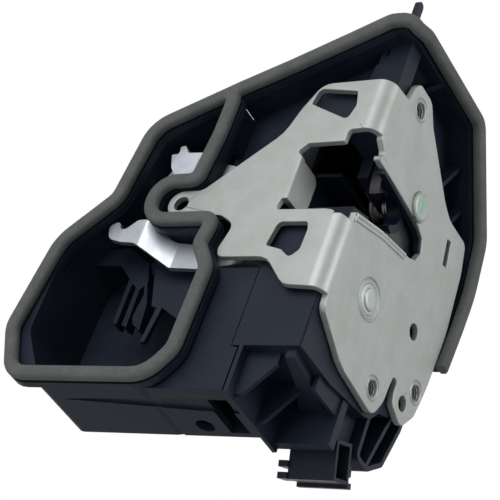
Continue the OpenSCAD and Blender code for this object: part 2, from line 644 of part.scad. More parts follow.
// The arm's walls start inside the tray's floor
arm_y = tray_depth - 1;
side_roof = 73.7 - 0.4 * (arm_y - 10) / 48.6;
side_line_front = open_line([[0, corner_z], [2.5, corner_z, 4], [10, 73.7, 8], [arm_y, side_roof]]);
side_line_upper = open_line([[arm_y, side_roof], [58.6, 73.3, 5], [84, 37.5, 12], [86.8, 16, 40],
                             [85.9, 1, 40], [84, -18]]);
side_line_all = open_line([[arm_y, side_roof], [58.6, 73.3, 5], [84, 37.5, 12], [86.8, 16, 40],
                           [85.9, 1, 40], [83.5, -23, 8], [80, -33, 8], [66, -60.5, 6], [arm_y, -62.5]]);
module seal_carrier() color([0.04, 0.05, 0.07]) difference() {
    union() {
        carrier_walls();
        // The tray's floor, and the back of the box beside it
        facing_trim(tray_depth - wall, wall) polygon(tray_line);
        facing_trim(tray_depth - wall, wall) polygon([[-62, 44], [-41, 54], [arm_x + 1, 54.4], [arm_x + 1, -62],
            [-28.4, -62], [-28.4, -78.6], [-56, -78.6], [-46, -60], [-46, -30], [-50, -12], [-62, -12]]);
        // The wall above the sloping roof, where the latch arm is taller
        facing_trim(tray_depth - wall, wall) polygon([[arm_x, 53], [arm_x, side_roof + 0.9],
            [side_rim_x, side_roof + 0.9], [side_rim_x, corner_z - 1], [-21, 62.7]]);
        // The latch arm's inboard side
        facing_shut(arm_x, wall) polygon(side_line_all);
        // The closed front and bottom of the box beside the tray
        facing_trim(4, wall) polygon([[-28.4, -78.6], [-28.4, -30], [-46, -30], [-46, -66], [-56, -78.6]]);
        box([-57, 4, -78.6], [-26.4 - fit_gap, tray_depth, -78.6 + wall]);
        box([-28.8, 4, -78.6], [-28.8 + wall - fit_gap, tray_depth, -62]);
        // The floor behind the levers, and the slope above the plate
        facing_trim(lever_floor, wall) polygon(main_floor_area);
        // The shelf that carries on from it inside the tray
        facing_trim(shelf_y, 2) polygon([[-80.4, -22.4], [-72.8, -24.4], [-52, -24.5], [-45.8, -34], [-46, -43.9],
            [-63.2, -43.9], [-70.9, -39.4], [-72.9, -53.6], [-74.7, -53.6], [-73.2, -39.4], [-75.6, -38.7]]);
        // The corner post above the plate, and the locating tab over the corner
        facing_trim(8, 5.2) polygon([[-16, 47], [-14.9, 59.6], [-11, 65], [-11.7, 68], [-3, 71.6], [-3, 47]]);
        facing_shut(-3.4, 1.8) polygon(outline([[2, corner_z], [2, 84, 1.6], [5.4, 84, 1.6], [5.4, corner_z]]));
        // The panel beside the plate on the shut face, with its ribs
        facing_shut(-14, 2) difference() {
            polygon(side_area);
            polygon(beside(housing_area, -0.4, true));
        }
        for (at = [[62, 52], [72, 40]]) facing_shut(-12.5, 7) strip([[at.x - 10, at.y - 18], [at.x + 6, at.y + 10]], rib_t);
    }
    // Room for the latch housing
    facing_shut(tub_back - fit_gap, big) polygon(beside(housing_area, -fit_gap, true));
    box([tub_back - fit_gap, 3, housing_low - fit_gap], [big, 7, -12]);
    box([bay_left - fit_gap, bay_y[0] - fit_gap, bay_low - 5], [big, bay_y[1] + fit_gap, housing_low + 2]);
    // Ways through for the two levers and the drain hole
    box([-56, 7, -35], [-43, lever_floor - 0.4, -11.8]);
    box([-66, 7, 5.6], [-59, lever_floor - 0.4, 24]);
    // Clear of the latch plate's trim-side face
    facing_trim(-1, plate_t + 1 + fit_gap) {
        polygon(beside(plate_trim, fit_gap, true));
        translate(ear_at) circle(ear_r + fit_gap);
    }
    translate([-45.3, tray_depth - 6.5, -90]) cylinder(h = 20, d = drain_d);
    // The tapered scoop and the pocket in the bottom wall
    translate([0, 0, -79.6]) linear_extrude(1.9) polygon([[-97, 12], [-20, 8.6], [-20, 19.6]]);
    box([-37, 12, -90], [-29.4, tray_depth - wall, -75.8]);
    for (at = bosses) bar_x(at, arm_x - 1, wall + 2, screw_d + 0.4);
    for (at = [outer_pivot, inner_pivot]) bar_y(at, lever_floor - 1, wall + 2, lever_pin_d);
}

/*
   Release levers. Both lie between the plate and the carrier's floor.
*/
lever_y = 8.2;
outer_pivot = [-33, -20];
inner_pivot = [-44, 9];
crest_y = 2.6;
module outer_release_lever() color([0.8, 0.81, 0.82]) difference() {
    intersection() {
        facing_trim(0, 20) union() {
            polygon(outline([
                [-97.5, -12, 1.8], [-96, -17.5, 3.4], [-90, -19.2, 4], [-84.5, -19.6, 4], [-70, -26.6, 2],
                [-58, -27.3, 3], [-40, -25.2, 3], [-33, -26.5, 2], [-14, -39, 2], [-5.6, -39, 1],
                [-5.6, -34, 0.5], [-11, -34, 3], [-28, -22, 3], [-28.4, -16, 4], [-35, -14.6, 4],
                [-44, -16.4, 3], [-64, -16.8, 4], [-71, -16, 3], [-82.5, -9.6, 3], [-86, -9.8, 2],
                [-90, -13.6, 1.6], [-92.3, -13.6, 1.6], [-93.4, -10, 1.6]]));
        }
        translate([0, 0, -50]) linear_extrude(60) lever_profile();
    }
    bar_y(outer_pivot, -1, 30, lever_pin_d + 2 * run_gap);
}
// The bent strip seen from above, in X and Y
module lever_profile() polygon(outline([
    [-99, crest_y], [-82, crest_y, 3], [-69.5, lever_y, 2], [0, lever_y], [0, lever_y + steel_t],
    [-70.3, lever_y + steel_t, 4], [-82.8, crest_y + steel_t, 1.2], [-99, crest_y + steel_t]]));

module inner_release_lever() color([0.86, 0.86, 0.88]) difference() {
    union() {
        facing_trim(lever_y - 0.4, white_t) polygon(outline([
            [-87.6, 23.6, 0.4], [-84.6, 23.6, 0.8], [-84.6, 25.4, 0.8], [-85, 27, 0.8], [-82.8, 27.4, 1],
            [-80.6, 24, 1.2], [-74, 23.8, 1], [-64, 18.5, 3], [-48, 14.2, 3], [-44.5, 13],
            [-44.5, 5], [-48, 5, 3], [-62, 8.6, 3], [-74.6, 15, 2], [-82.4, 13.4, 2], [-85.6, 17.6, 2]]));
        bar_y(inner_pivot, lever_y - 0.4, white_t, lever_pin_d + 6);
    }
    bar_y(inner_pivot, -1, 30, lever_pin_d + 2 * run_gap);
}
module outer_lever_pin() color([0.7, 0.7, 0.7]) {
    bar_y(outer_pivot, plate_t + 0.2, lever_floor + wall - plate_t - 0.2, lever_pin_d);
    bar_y(outer_pivot, lever_y + steel_t + 0.3, lever_floor - lever_y - steel_t - 0.4, lever_pin_d + 3);
}
module inner_lever_pin() color([0.7, 0.7, 0.7]) {
    bar_y(inner_pivot, plate_t + 0.2, lever_floor + wall - plate_t - 0.2, lever_pin_d);
    bar_y(inner_pivot, lever_y - 0.4 + white_t + 0.3, lever_floor - lever_y + 0.4 - white_t - 0.4, lever_pin_d + 3);
}
// A flat coil round each lever pin, in front of the lever
lever_wire = 0.9;
module lever_spring(at, a0, a1) {
    for (i = [0:1]) translate([at.x, 4.2 + i * lever_wire * 0.85, at.y]) {
        rotate([90, 0, 0]) rotate_extrude() translate([lever_pin_d / 2 + 1.3, 0]) circle(d = lever_wire, $fn = 20);
        rotate([0, i == 0 ? a0 : a1, 0]) translate([lever_pin_d / 2 + 1.3, 0, 0])
            rotate([0, 35, 0]) cylinder(h = 6, d = lever_wire * 0.9, $fn = 20);
    }
}
module outer_lever_spring() color([0.6, 0.6, 0.58]) lever_spring(outer_pivot, 250, 150);
module inner_lever_spring() color([0.6, 0.6, 0.58]) lever_spring(inner_pivot, 20, 200);

module cable_end_clip() color([0.5, 0.51, 0.52]) facing_trim(lever_y - 0.4 + white_t, 1.2)
    polygon(outline([[-86, 20, 1], [-80, 22, 1], [-80, 15, 1], [-84, 9.4, 1], [-90, 12.2, 1]]));

module cable_guide() color([0.12, 0.13, 0.16]) {
    facing_trim(shelf_y, 2) intersection() {
        polygon(outline([[-110.4, -21.1, 1], [-106.6, -14.8, 1], [-94.8, -13.4, 2], [-83.6, -20.4, 2],
                         [-81, -28.6, 0.5], [-81.9, -29.6, 0.5], [-83.5, -32.3, 1], [-88.2, -28.5, 2],
                         [-95.4, -21.3, 3]]));
        polygon(beside(tray_line, -wall / 2 - 0.5, true));
    }
    // Its three prongs, the last one curved
    facing_trim(shelf_y, 5) {
        polygon([[-89.6, -26.6], [-87.6, -27.6], [-87.5, -46.4], [-89.3, -45.9]]);
        polygon([[-85.3, -28.6], [-83.6, -29], [-82.9, -47.7], [-85.2, -46.7]]);
        polygon([[-82.9, -27.4], [-81.4, -28.2], [-77.9, -38], [-76.8, -49], [-80.6, -46.4], [-81.9, -43.3],
                 [-80.8, -33.7]]);
    }
    box([-94, shelf_y + 1, -21], [-88, tray_depth - wall, -19]);
}
module reset_pin() color([0.75, 0.75, 0.75]) bar_x(reset_at, slab_x - 4, 3.6, 4.4);

/*
   Lock drive: motor, worm, worm wheel with its small gear, and toothed lever.
*/
drive_x = -28;
wheel_at = [50, -32];
wheel_pitch_r = wheel_teeth * worm_pitch / (2 * PI);
worm_throw = 0.8;
motor_at = wheel_at.x + wheel_pitch_r + worm_r;
worm_z = [-40, -22];
pitch_small = gear_m * pinion_teeth / 2;
lever_teeth = 3 * pinion_teeth;
pitch_large = gear_m * lever_teeth / 2;
lock_a = 210;
lock_at = wheel_at + (pitch_small + pitch_large) * [cos(lock_a), sin(lock_a)];
gear_x = -26;
gear_w = 3;

// Involute gears: half the angle of a tooth at radius r
pressure = 28;
function inv(a) = tan(a) * 180 / PI - a;
function tooth_half(r, z, m, play) = let (rp = m * z / 2, rb = rp * cos(pressure), a = r > rb ? acos(rb / r) : 0)
    90 / z + inv(pressure) - inv(a) - play / rp * 90 / PI;
function tooth(z, m, k, play) = let (rp = m * z / 2, lo = rp - 1.2 * m, hi = rp + 0.85 * m,
    rs = [for (i = [0:4]) lo + (hi - lo) * i / 4])
    concat([for (i = [0:4]) polar([0, 0], rs[i], 360 * k / z - tooth_half(rs[i], z, m, play))],
           [for (i = [4:-1:0]) polar([0, 0], rs[i], 360 * k / z + tooth_half(rs[i], z, m, play))]);
module gear_shape(z, m, from, to, play) {
    circle(m * z / 2 - 1.2 * m + 0.05);
    for (k = [from:to]) polygon(tooth(z, m, k, play));
}

module lock_motor() color([0.7, 0.71, 0.72]) translate([drive_x, motor_at, -18]) difference() {
    union() {
        cylinder(h = motor_l, d = motor_d);
        translate([0, 0, -1.5]) cylinder(h = 2, d = 6);
        translate([0, 0, motor_l - 0.5]) cylinder(h = 2, d = 5);
    }
    translate([0, 0, -2]) cylinder(h = motor_l - 4, d = 2 + 2 * run_gap);
}
module motor_seat() for (z = [-16, -18 + motor_l - 5])
    difference() {
        box([drive_x + 2, motor_at - motor_d / 2 - 1.5, z], [base_x + 0.5, motor_at + motor_d / 2 + 1.5, z + 3]);
        translate([drive_x, motor_at, z - 1]) cylinder(h = 5, d = motor_d + 0.2);
    }
module drive_worm() color([0.85, 0.85, 0.8]) translate([drive_x, motor_at, worm_z[0]]) {
    linear_extrude(height = worm_z[1] - worm_z[0], twist = -360 * (worm_z[1] - worm_z[0]) / worm_pitch,
                   slices = round((worm_z[1] - worm_z[0]) / worm_pitch * 10), segments = 16, $fn = 16)
        translate([worm_throw, 0]) circle(worm_r, $fn = 16);
    cylinder(h = worm_z[1] - worm_z[0] + 18, d = 2);
}
// The wheel's teeth follow the round thread, with a little play
wheel_play = 0.28;
module worm_wheel() color([0.82, 0.8, 0.7]) difference() {
    union() {
        facing_shut(drive_x - wheel_w / 2, wheel_w) translate(wheel_at)
            polygon([for (i = [0:8 * wheel_teeth - 1]) let (a = 360 * i / (8 * wheel_teeth))
                polar([0, 0], wheel_pitch_r - wheel_play - worm_throw * 0.85 * cos(wheel_teeth * (a - wheel_phase)), a)]);
        facing_shut(drive_x + wheel_w / 2 - 0.2, gear_x + gear_w + 0.4 - drive_x - wheel_w / 2 + 0.2)
            translate(wheel_at) rotate(lock_a) gear_shape(pinion_teeth, gear_m, 0, pinion_teeth - 1, 0.25);
    }
    bar_x(wheel_at, -big / 2, big, 4 + 2 * run_gap);
}
wheel_phase = 360 / wheel_teeth * ((worm_z[0] - wheel_at.y) / worm_pitch + 0.75);
module wheel_pin() color([0.7, 0.7, 0.7]) {
    bar_x(wheel_at, drive_x - 3.5, base_x + base_t - drive_x + 3.5, 4);
    bar_x(wheel_at, gear_x + gear_w + 0.8, base_x - gear_x - gear_w - 0.8, 7);
}
module lock_lever() color([0.82, 0.8, 0.7]) difference() {
    facing_shut(gear_x, gear_w) translate(lock_at) {
        intersection() {
            rotate(lock_a + 180) rotate(180 / lever_teeth) gear_shape(lever_teeth, gear_m, -4, 1, 0.25);
            rotate(lock_a + 180) polygon([[0, 0], polar([0, 0], 40, -48), polar([0, 0], 40, -12), polar([0, 0], 40, 24)]);
        }
        circle(5);
    }
    bar_x(lock_at, -big / 2, big, 4 + 2 * run_gap);
}
module lock_lever_pin() color([0.7, 0.7, 0.7]) {
    bar_x(lock_at, gear_x - 1.5, base_x + base_t - gear_x + 1.5, 4);
    bar_x(lock_at, gear_x + gear_w + 0.3, base_x - gear_x - gear_w - 0.3, 7);
}

// Small snap switches on the base of the component carrier
module snap_switch(at) {
    box([base_x - 6.2, at.x, at.y], [base_x, at.x + 12.8, at.y + 5.8]);
    box([base_x - 4.6, at.x + 8, at.y + 5.8], [base_x - 1.6, at.x + 10.4, at.y + 7]);
    for (i = [0:2]) box([base_x - 3.6, at.x + 2 + 4 * i, at.y - 2], [base_x - 3, at.x + 3.2 + 4 * i, at.y]);
}
module catch_switch() color([0.15, 0.15, 0.16]) snap_switch([57.5, 14.6]);
module lock_switch() color([0.15, 0.15, 0.16]) snap_switch([18, -20.2]);
// Stamped tracks on the base, and the contacts in the socket
module lead_frame() color([0.75, 0.6, 0.35]) {
    for (i = [0:2]) facing_shut(base_x - 0.8, 0.8) strip([[30 + 3 * i, -28 - i], [45.5 + 2.4 * i, -50], [46 + 2.4 * i, -56]], 1.2);
    translate([socket_x - socket_l, socket_at.x, socket_at.y]) rotate([socket_tilt, 0, 0])
        for (i = [1:contacts]) translate([-1, -0.5, -socket_a / 2 + socket_a * i / (contacts + 1) - 0.5])
            cube([11, 1, 1]);
}
module housing_screws() color([0.5, 0.5, 0.5]) for (at = bosses) difference() {
    union() {
        bar_x(at, arm_x - 1.8, 14, screw_d);
        bar_x(at, arm_x - 1.8, 1.8, 2 * screw_d);
    }
    bar_x(at, arm_x - 3, 2.4, 1.6, $fn = 6);
}

// Moves a piece from the bend corner to the upper fixing hole
module place() translate([0, -upper_fixing.x, -upper_fixing.y]) children();

place() seal_carrier();
place() seal();
place() latch_plate();
place() latch_housing();
place() component_carrier();
place() catch();
place() catch_jacket();
place() catch_pin();
place() catch_spring();
place() pawl();
place() pawl_pin();
place() pawl_spring();
place() back_plate();
place() slot_liner();
place() bumper();
place() outer_release_lever();
place() outer_lever_pin();
place() outer_lever_spring();
place() inner_release_lever();
place() inner_lever_pin();
place() inner_lever_spring();
place() cable_end_clip();
place() cable_guide();
place() reset_pin();
place() lock_motor();
place() drive_worm();
place() worm_wheel();
place() wheel_pin();
place() lock_lever();
place() lock_lever_pin();
place() catch_switch();
place() lock_switch();
place() lead_frame();
place() housing_screws();
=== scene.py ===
# %% [markdown]
# # A car door latch, dressed in Blender
# This script is a lesson in cells. It takes the packed CAD model of a door latch with its
# lock actuator as a fixed frame, and adds what CAD leaves out: a camera, studio light, real
# finishes, a foam seal that is round instead of stepped, and small trim. Each step starts
# with a few sentences on what the real piece is, how it could be made, and why it is made
# this way.

import json
import math

import bmesh
import bpy
from mathutils import Matrix, Vector


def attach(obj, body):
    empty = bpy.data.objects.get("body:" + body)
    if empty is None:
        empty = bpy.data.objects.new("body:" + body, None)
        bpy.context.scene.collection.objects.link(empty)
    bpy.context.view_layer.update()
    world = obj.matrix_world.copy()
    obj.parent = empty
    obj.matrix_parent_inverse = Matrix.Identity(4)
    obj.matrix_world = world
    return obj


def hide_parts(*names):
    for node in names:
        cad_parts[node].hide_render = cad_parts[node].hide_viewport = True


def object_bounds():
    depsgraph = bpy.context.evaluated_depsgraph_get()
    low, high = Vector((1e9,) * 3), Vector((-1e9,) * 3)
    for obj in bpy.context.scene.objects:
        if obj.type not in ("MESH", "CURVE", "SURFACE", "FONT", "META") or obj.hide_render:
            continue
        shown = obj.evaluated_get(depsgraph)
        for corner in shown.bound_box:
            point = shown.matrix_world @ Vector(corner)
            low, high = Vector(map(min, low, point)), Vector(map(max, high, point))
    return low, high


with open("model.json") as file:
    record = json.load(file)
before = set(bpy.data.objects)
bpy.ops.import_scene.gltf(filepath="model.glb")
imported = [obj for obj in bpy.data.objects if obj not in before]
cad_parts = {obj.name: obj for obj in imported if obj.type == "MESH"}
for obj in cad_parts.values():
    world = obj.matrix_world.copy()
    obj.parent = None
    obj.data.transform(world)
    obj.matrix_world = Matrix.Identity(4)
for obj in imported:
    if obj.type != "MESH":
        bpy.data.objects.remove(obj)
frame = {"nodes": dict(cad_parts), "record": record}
cad_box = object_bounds()
nodes = frame["nodes"]
MM = 0.001
print("nodes:", len(nodes), "box:", [round(v, 4) for corner in cad_box for v in corner])

# %% [markdown]
# ## Two ways of counting
# The drawing of the latch starts at the bend of its steel plate, where the trim-side face
# and the shut face meet. The frame starts at the upper fixing hole, 22 mm further in and
# 50 mm higher. One small function turns the drawing's millimetres into the frame's metres,
# so that every later number can be read straight off the drawing.

# %% From the drawing to the frame
FIXING_HOLE = Vector((0, 22, 50))


def spot(x, y, z):
    """A point of the drawing, in millimetres from the bend, as a point of the frame."""
    return (Vector((x, y, z)) - FIXING_HOLE) * MM


print("the bend corner is at", [round(v, 4) for v in spot(0, 0, 0)])

# %% [markdown]
# ## Camera
# The photograph is a close product shot from below and in front, with a long lens. A camera
# could be turned by eye until it looks right, but then every later comparison is in doubt.
# So its directions were worked out from edges that are square on the real latch, and the
# lens from how fast parallel edges draw together. A 36 mm sensor is the usual base.

# %% Camera
LOOK_RIGHT = Vector((0.845, 0.44, 0.302))
LOOK_UP = Vector((0.016, -0.586, 0.81))
CAMERA_AT = spot(374.3, -518.4, -408.8)
FOCAL_PIXELS, FRAME_PIXELS = 2274, 500
SENSOR_MM = 36
NEAR_CLIP, FAR_CLIP = 0.05, 20


def add_object(name, data):
    """A new object around a mesh, a lamp or a camera, linked into the scene."""
    thing = bpy.data.objects.new(name, data)
    bpy.context.collection.objects.link(thing)
    return thing


def add_camera():
    """The photograph's camera, with its up turned square to its right."""
    data = bpy.data.cameras.new("camera")
    data.sensor_width = SENSOR_MM
    data.lens = SENSOR_MM * FOCAL_PIXELS / FRAME_PIXELS
    data.clip_start, data.clip_end = NEAR_CLIP, FAR_CLIP
    camera = add_object("camera", data)
    right = LOOK_RIGHT.normalized()
    up = (LOOK_UP - right * LOOK_UP.dot(right)).normalized()
    turn = Matrix((right, up, right.cross(up))).transposed()
    camera.matrix_world = Matrix.Translation(CAMERA_AT) @ turn.to_4x4()
    bpy.context.scene.camera = camera
    return camera


camera = add_camera()
print("lens:", round(camera.data.lens, 1), "mm")

# %% [markdown]
# ## Shader maths as plain arithmetic
# A finish is a network of small nodes. It could be wired one link at a time, but then a line
# of arithmetic becomes a page of links. So one class stands for a wire between two nodes,
# and Python's own signs on it add the Math nodes.


# %% A wire
class Wire:
    """The output of a shader node. Sums on it add Math nodes."""

    def __init__(self, paint, socket):
        self.paint, self.socket = paint, socket

    def maths(self, operation, *values):
        return self.paint.node("ShaderNodeMath", {"operation": operation}, *values)

    def __add__(self, other):
        return self.maths("ADD", self, other)

    def __sub__(self, other):
        return self.maths("SUBTRACT", self, other)

    def __rsub__(self, other):
        return self.maths("SUBTRACT", other, self)

    def __mul__(self, other):
        return self.maths("MULTIPLY", self, other)

    def ramp(self, low, high):
        """0 below low, 1 above high, and a smooth rise between them."""
        return self.paint.node(
            "ShaderNodeMapRange", {"interpolation_type": "SMOOTHSTEP"}, self, low, high, 0.0, 1.0
        )

    __radd__ = __add__
    __rmul__ = __mul__


print("a wire can be added, taken away, multiplied and ramped")

# %% [markdown]
# ## The pot of paint
# A material is a shader and the nodes that feed it. Noise, cells, a blend of two colours and
# a fine relief come back in every finish, so a second class owns the material and has one
# short method for each. Sizes are in millimetres, as on the drawing. Every pattern reads
# Object coordinates, so it stays where it is on the piece when the latch moves.


# %% A pot of paint
class Paint:
    """One material: its shader, and the nodes that drive it."""

    # Where a Mix node keeps its factor, its two colours and the colour that it gives.
    FACTOR, COLOUR_A, COLOUR_B, COLOUR_OUT = 0, 6, 7, 2
    BEVEL_RAYS = 4

    def __init__(self, name, **constants):
        self.material = bpy.data.materials.new(name)
        self.material.use_nodes = True
        self.tree = self.material.node_tree
        self.shader = self.tree.nodes["Principled BSDF"]
        self.place = self.node("ShaderNodeTexCoord", out="Object")
        self.set(**constants)

    def node(self, kind, settings=None, *values, out=0, **named):
        """A node of any kind: first its settings, then the values or wires of its sockets."""
        node = self.tree.nodes.new(kind)
        for key, value in (settings or {}).items():
            setattr(node, key, value)
        for key, value in [*enumerate(values), *named.items()]:
            socket = node.inputs[key if isinstance(key, int) else key.replace("_", " ")]
            self.plug(socket, value)
        return Wire(self, node.outputs[out])

    def plug(self, socket, value):
        if isinstance(value, Wire):
            self.tree.links.new(value.socket, socket)
        else:
            socket.default_value = value

    def set(self, **values):
        """Values or wires for the shader's own sockets."""
        for key, value in values.items():
            self.plug(self.shader.inputs[key.replace("_", " ")], value)

    def noise(self, size_mm, detail=3.0, rough=0.5, at=None):
        """Cloudy noise whose blobs are about size_mm across."""
        return self.node(
            "ShaderNodeTexNoise", None, at or self.place,
            Scale=1 / (size_mm * MM), Detail=detail, Roughness=rough,
        )

    def cells(self, size_mm):
        """Distance to the nearest of many scattered points, size_mm apart."""
        return self.node("ShaderNodeTexVoronoi", None, self.place, Scale=1 / (size_mm * MM))

    def stretched(self, x, y, z):
        """The object's coordinates, multiplied along each axis."""
        return self.node(
            "ShaderNodeVectorMath", {"operation": "MULTIPLY"}, self.place, (x, y, z)
        )

    def mix(self, factor, a, b):
        """Colour a where factor is 0 and b where it is 1."""
        node = self.tree.nodes.new("ShaderNodeMix")
        node.data_type = "RGBA"
        for index, value in ((self.FACTOR, factor), (self.COLOUR_A, a), (self.COLOUR_B, b)):
            self.plug(node.inputs[index], value)
        return Wire(self, node.outputs[self.COLOUR_OUT])

    def bump(self, height, depth_mm, strength, edge_mm=0):
        """Relief of depth_mm as height goes from 0 to 1, with edges worn round by edge_mm."""
        inputs = {"Height": height, "Distance": depth_mm * MM, "Strength": strength}
        if edge_mm:
            inputs["Normal"] = self.node(
                "ShaderNodeBevel", {"samples": self.BEVEL_RAYS}, Radius=edge_mm * MM
            )
        self.set(Normal=self.node("ShaderNodeBump", None, **inputs))


print("a pot of paint has", [name for name in vars(Paint) if name.islower() and name[0] != "_"])

# %% [markdown]
# ## Colours as a screen shows them
# A colour is easiest to judge as a screen shows it, from 0 to 255, but a shader wants linear
# light, in which a middle grey is only about a fifth of white. The standard screen curve
# turns one into the other, so every colour below can be typed as it is seen.


# %% Colour
def colour(*levels):
    """Red, green and blue from 0 to 255, as the shader's linear values."""
    linear = [
        level / 255 / 12.92 if level <= 10 else ((level / 255 + 0.055) / 1.055) ** 2.4
        for level in levels
    ]
    return (*linear, 1.0)


print("a middle grey of 128 is", round(colour(128, 128, 128)[0], 3), "of white")

# %% [markdown]
# ## World
# The latch was shot against plain white. A bright world alone would give that background,
# but it would also wash out every colour. So the world is white only to the camera and to
# reflections, which Light Path tells apart, and moderately bright as a light.

# %% World
WORLD_LIGHT, SEEN_LIGHT = 0.42, 1
WHITE = (1, 1, 1, 1)


def is_seen(tree):
    """1 for camera, mirror and glass rays, 0 for rays that carry light."""
    path = tree.nodes.new("ShaderNodeLightPath")
    total = path.outputs["Is Camera Ray"]
    for name in ("Is Glossy Ray", "Is Transmission Ray"):
        most = tree.nodes.new("ShaderNodeMath")
        most.operation = "MAXIMUM"
        tree.links.new(total, most.inputs[0])
        tree.links.new(path.outputs[name], most.inputs[1])
        total = most.outputs[0]
    return total


def white_light(tree, strength):
    """Even white light of one strength from all around."""
    node = tree.nodes.new("ShaderNodeBackground")
    node.inputs["Color"].default_value = WHITE
    node.inputs["Strength"].default_value = strength
    return node.outputs[0]


def add_world():
    """A world that is bright where it is seen, and dimmer as a light."""
    world = bpy.data.worlds.new("studio")
    bpy.context.scene.world = world
    world.use_nodes = True
    tree = world.node_tree
    tree.nodes.clear()
    mix = tree.nodes.new("ShaderNodeMixShader")
    out = tree.nodes.new("ShaderNodeOutputWorld")
    tree.links.new(is_seen(tree), mix.inputs[0])
    tree.links.new(white_light(tree, WORLD_LIGHT), mix.inputs[1])
    tree.links.new(white_light(tree, SEEN_LIGHT), mix.inputs[2])
    tree.links.new(mix.outputs[0], out.inputs["Surface"])


bpy.context.scene.view_settings.view_transform = "Standard"
add_world()
print("world light:", WORLD_LIGHT, "seen as:", SEEN_LIGHT)

# %% [markdown]
# ## Floor
# Product shots of such parts are taken on a pale table. The camera looks up at the latch, so
# a floor close below it would stand between the two. It lies far enough down to be out of
# the picture, and still throws a soft light back onto the underside.

# %% Floor
FLOOR_DROP, FLOOR_HALF = 0.55, 4
FLOOR_PALE, FLOOR_DULL = (240, 240, 238), (230, 230, 228)
FLOOR_CLOUD_MM = 60


def add_floor():
    """A large matt floor, below the lowest point of the latch by FLOOR_DROP."""
    paint = Paint("studio_floor", Roughness=0.9)
    cloud = paint.noise(FLOOR_CLOUD_MM, detail=2)
    paint.set(Base_Color=paint.mix(cloud * 0.3, colour(*FLOOR_PALE), colour(*FLOOR_DULL)))
    mesh = bpy.data.meshes.new("studio_floor")
    half, low = FLOOR_HALF, cad_box[0].z - FLOOR_DROP
    corners = [(-half, -half, low), (half, -half, low), (half, half, low), (-half, half, low)]
    mesh.from_pydata(corners, [], [(0, 1, 2, 3)])
    mesh.materials.append(paint.material)
    floor = add_object("studio_floor", mesh)
    return floor


floor = add_floor()
print("floor at", round(floor.data.vertices[0].co.z, 3), "m")

# %% [markdown]
# ## Lamps
# Bare bulbs would draw hard shadows and hot spots on the steel. Three large square lamps
# stand for the soft boxes of a studio: the key lamp above the camera and a little to the
# left, a second one from the right, and a weak one from low on the left. Each is placed by
# how far right, up and back it stands as the camera sees it, and looks at the latch.

# %% Lamps
LAMPS_AIM = spot(-30, 25, 0)
LAMPS = {
    "key_lamp": {"right": -0.35, "up": 0.75, "back": 0.55, "size": 0.7, "watts": 9},
    "side_lamp": {"right": 0.9, "up": 0.15, "back": 0.25, "size": 0.5, "watts": 5},
    "fill_lamp": {"right": -0.8, "up": -0.2, "back": 0.5, "size": 0.8, "watts": 3},
}


def add_lamp(name, right, up, back, size, watts):
    """A square soft lamp, metres right, up and back from the latch, which it looks at."""
    data = bpy.data.lights.new(name, "AREA")
    data.shape, data.size, data.energy = "SQUARE", size, watts
    lamp = add_object(name, data)
    lamp.location = (
        LAMPS_AIM + LOOK_RIGHT.normalized() * right + LOOK_UP.normalized() * up
        + (CAMERA_AT - LAMPS_AIM).normalized() * back
    )
    lamp.rotation_mode = "QUATERNION"
    lamp.rotation_quaternion = (LAMPS_AIM - lamp.location).to_track_quat("-Z", "Y")


for lamp_name, stand in LAMPS.items():
    add_lamp(lamp_name, **stand)

# %% [markdown]
# ## Black mouldings
# The seal carrier and the latch housing are glass-filled nylon with a faint blue cast. One
# flat black would look like a hole. The tool's spark-eroded skin scatters light over a wide
# lobe, which reads as fine grain close up. So cloudy noise stands for the flow of the melt,
# fine noise for the skin, and a few paler scuffs for handling.

# %% Moulded plastics
MELT_MM, SCUFF_MM = 14, 0.9
SCUFF_STRETCH = (1, 0.25, 1.4)
SCUFF_COLOUR = (62, 65, 74)
WORN_SHARE, SCUFF_SHARE = 0.55, 0.16
MELT_SWING, SKIN_SWING = 0.16, 0.12
WORN_EDGE_MM = 0.25


def moulded(name, base, worn, rough, grain_mm, depth_mm):
    """Filled nylon between two tones, rough on average, with a skin of grain_mm blobs."""
    paint = Paint(name, Specular_IOR_Level=0.1)
    melt = paint.noise(MELT_MM, detail=4)
    skin = paint.noise(grain_mm, detail=2, rough=0.6)
    rubs = paint.noise(SCUFF_MM, detail=6, rough=0.7, at=paint.stretched(*SCUFF_STRETCH))
    tone = paint.mix(melt.ramp(0.35, 0.7) * WORN_SHARE, colour(*base), colour(*worn))
    scuffs = rubs.ramp(0.62, 0.74) * SCUFF_SHARE
    paint.set(Base_Color=paint.mix(scuffs, tone, colour(*SCUFF_COLOUR)))
    least = rough - (MELT_SWING + SKIN_SWING) / 2
    paint.set(Roughness=melt * MELT_SWING + skin * SKIN_SWING + least)
    paint.bump(skin, depth_mm, strength=0.6, edge_mm=WORN_EDGE_MM)
    return paint.material


black_moulding = moulded(
    "black_moulding", (22, 27, 38), (30, 35, 47), rough=0.42, grain_mm=0.35, depth_mm=0.03
)
carrier_black = moulded(
    "carrier_black", (20, 25, 35), (28, 33, 43), rough=0.38, grain_mm=0.3, depth_mm=0.02
)
liner_black = moulded(
    "liner_black", (13, 18, 29), (22, 27, 38), rough=0.34, grain_mm=0.4, depth_mm=0.02
)
switch_black = moulded(
    "switch_black", (14, 14, 16), (22, 22, 24), rough=0.45, grain_mm=0.3, depth_mm=0.02
)
print("mouldings:", [m.name for m in (black_moulding, carrier_black, liner_black, switch_black)])

# %% [markdown]
# ## Pressed steel
# The plate is cold-rolled steel with a pale zinc-nickel finish. A clean mirror would be
# wrong: the finish is dull, follows the rolling marks, has a faint green bloom, and is
# rubbed brighter in patches and specked with dirt. Noise that is stretched long and thin
# gives the rolling marks, and the same function serves every other metal.

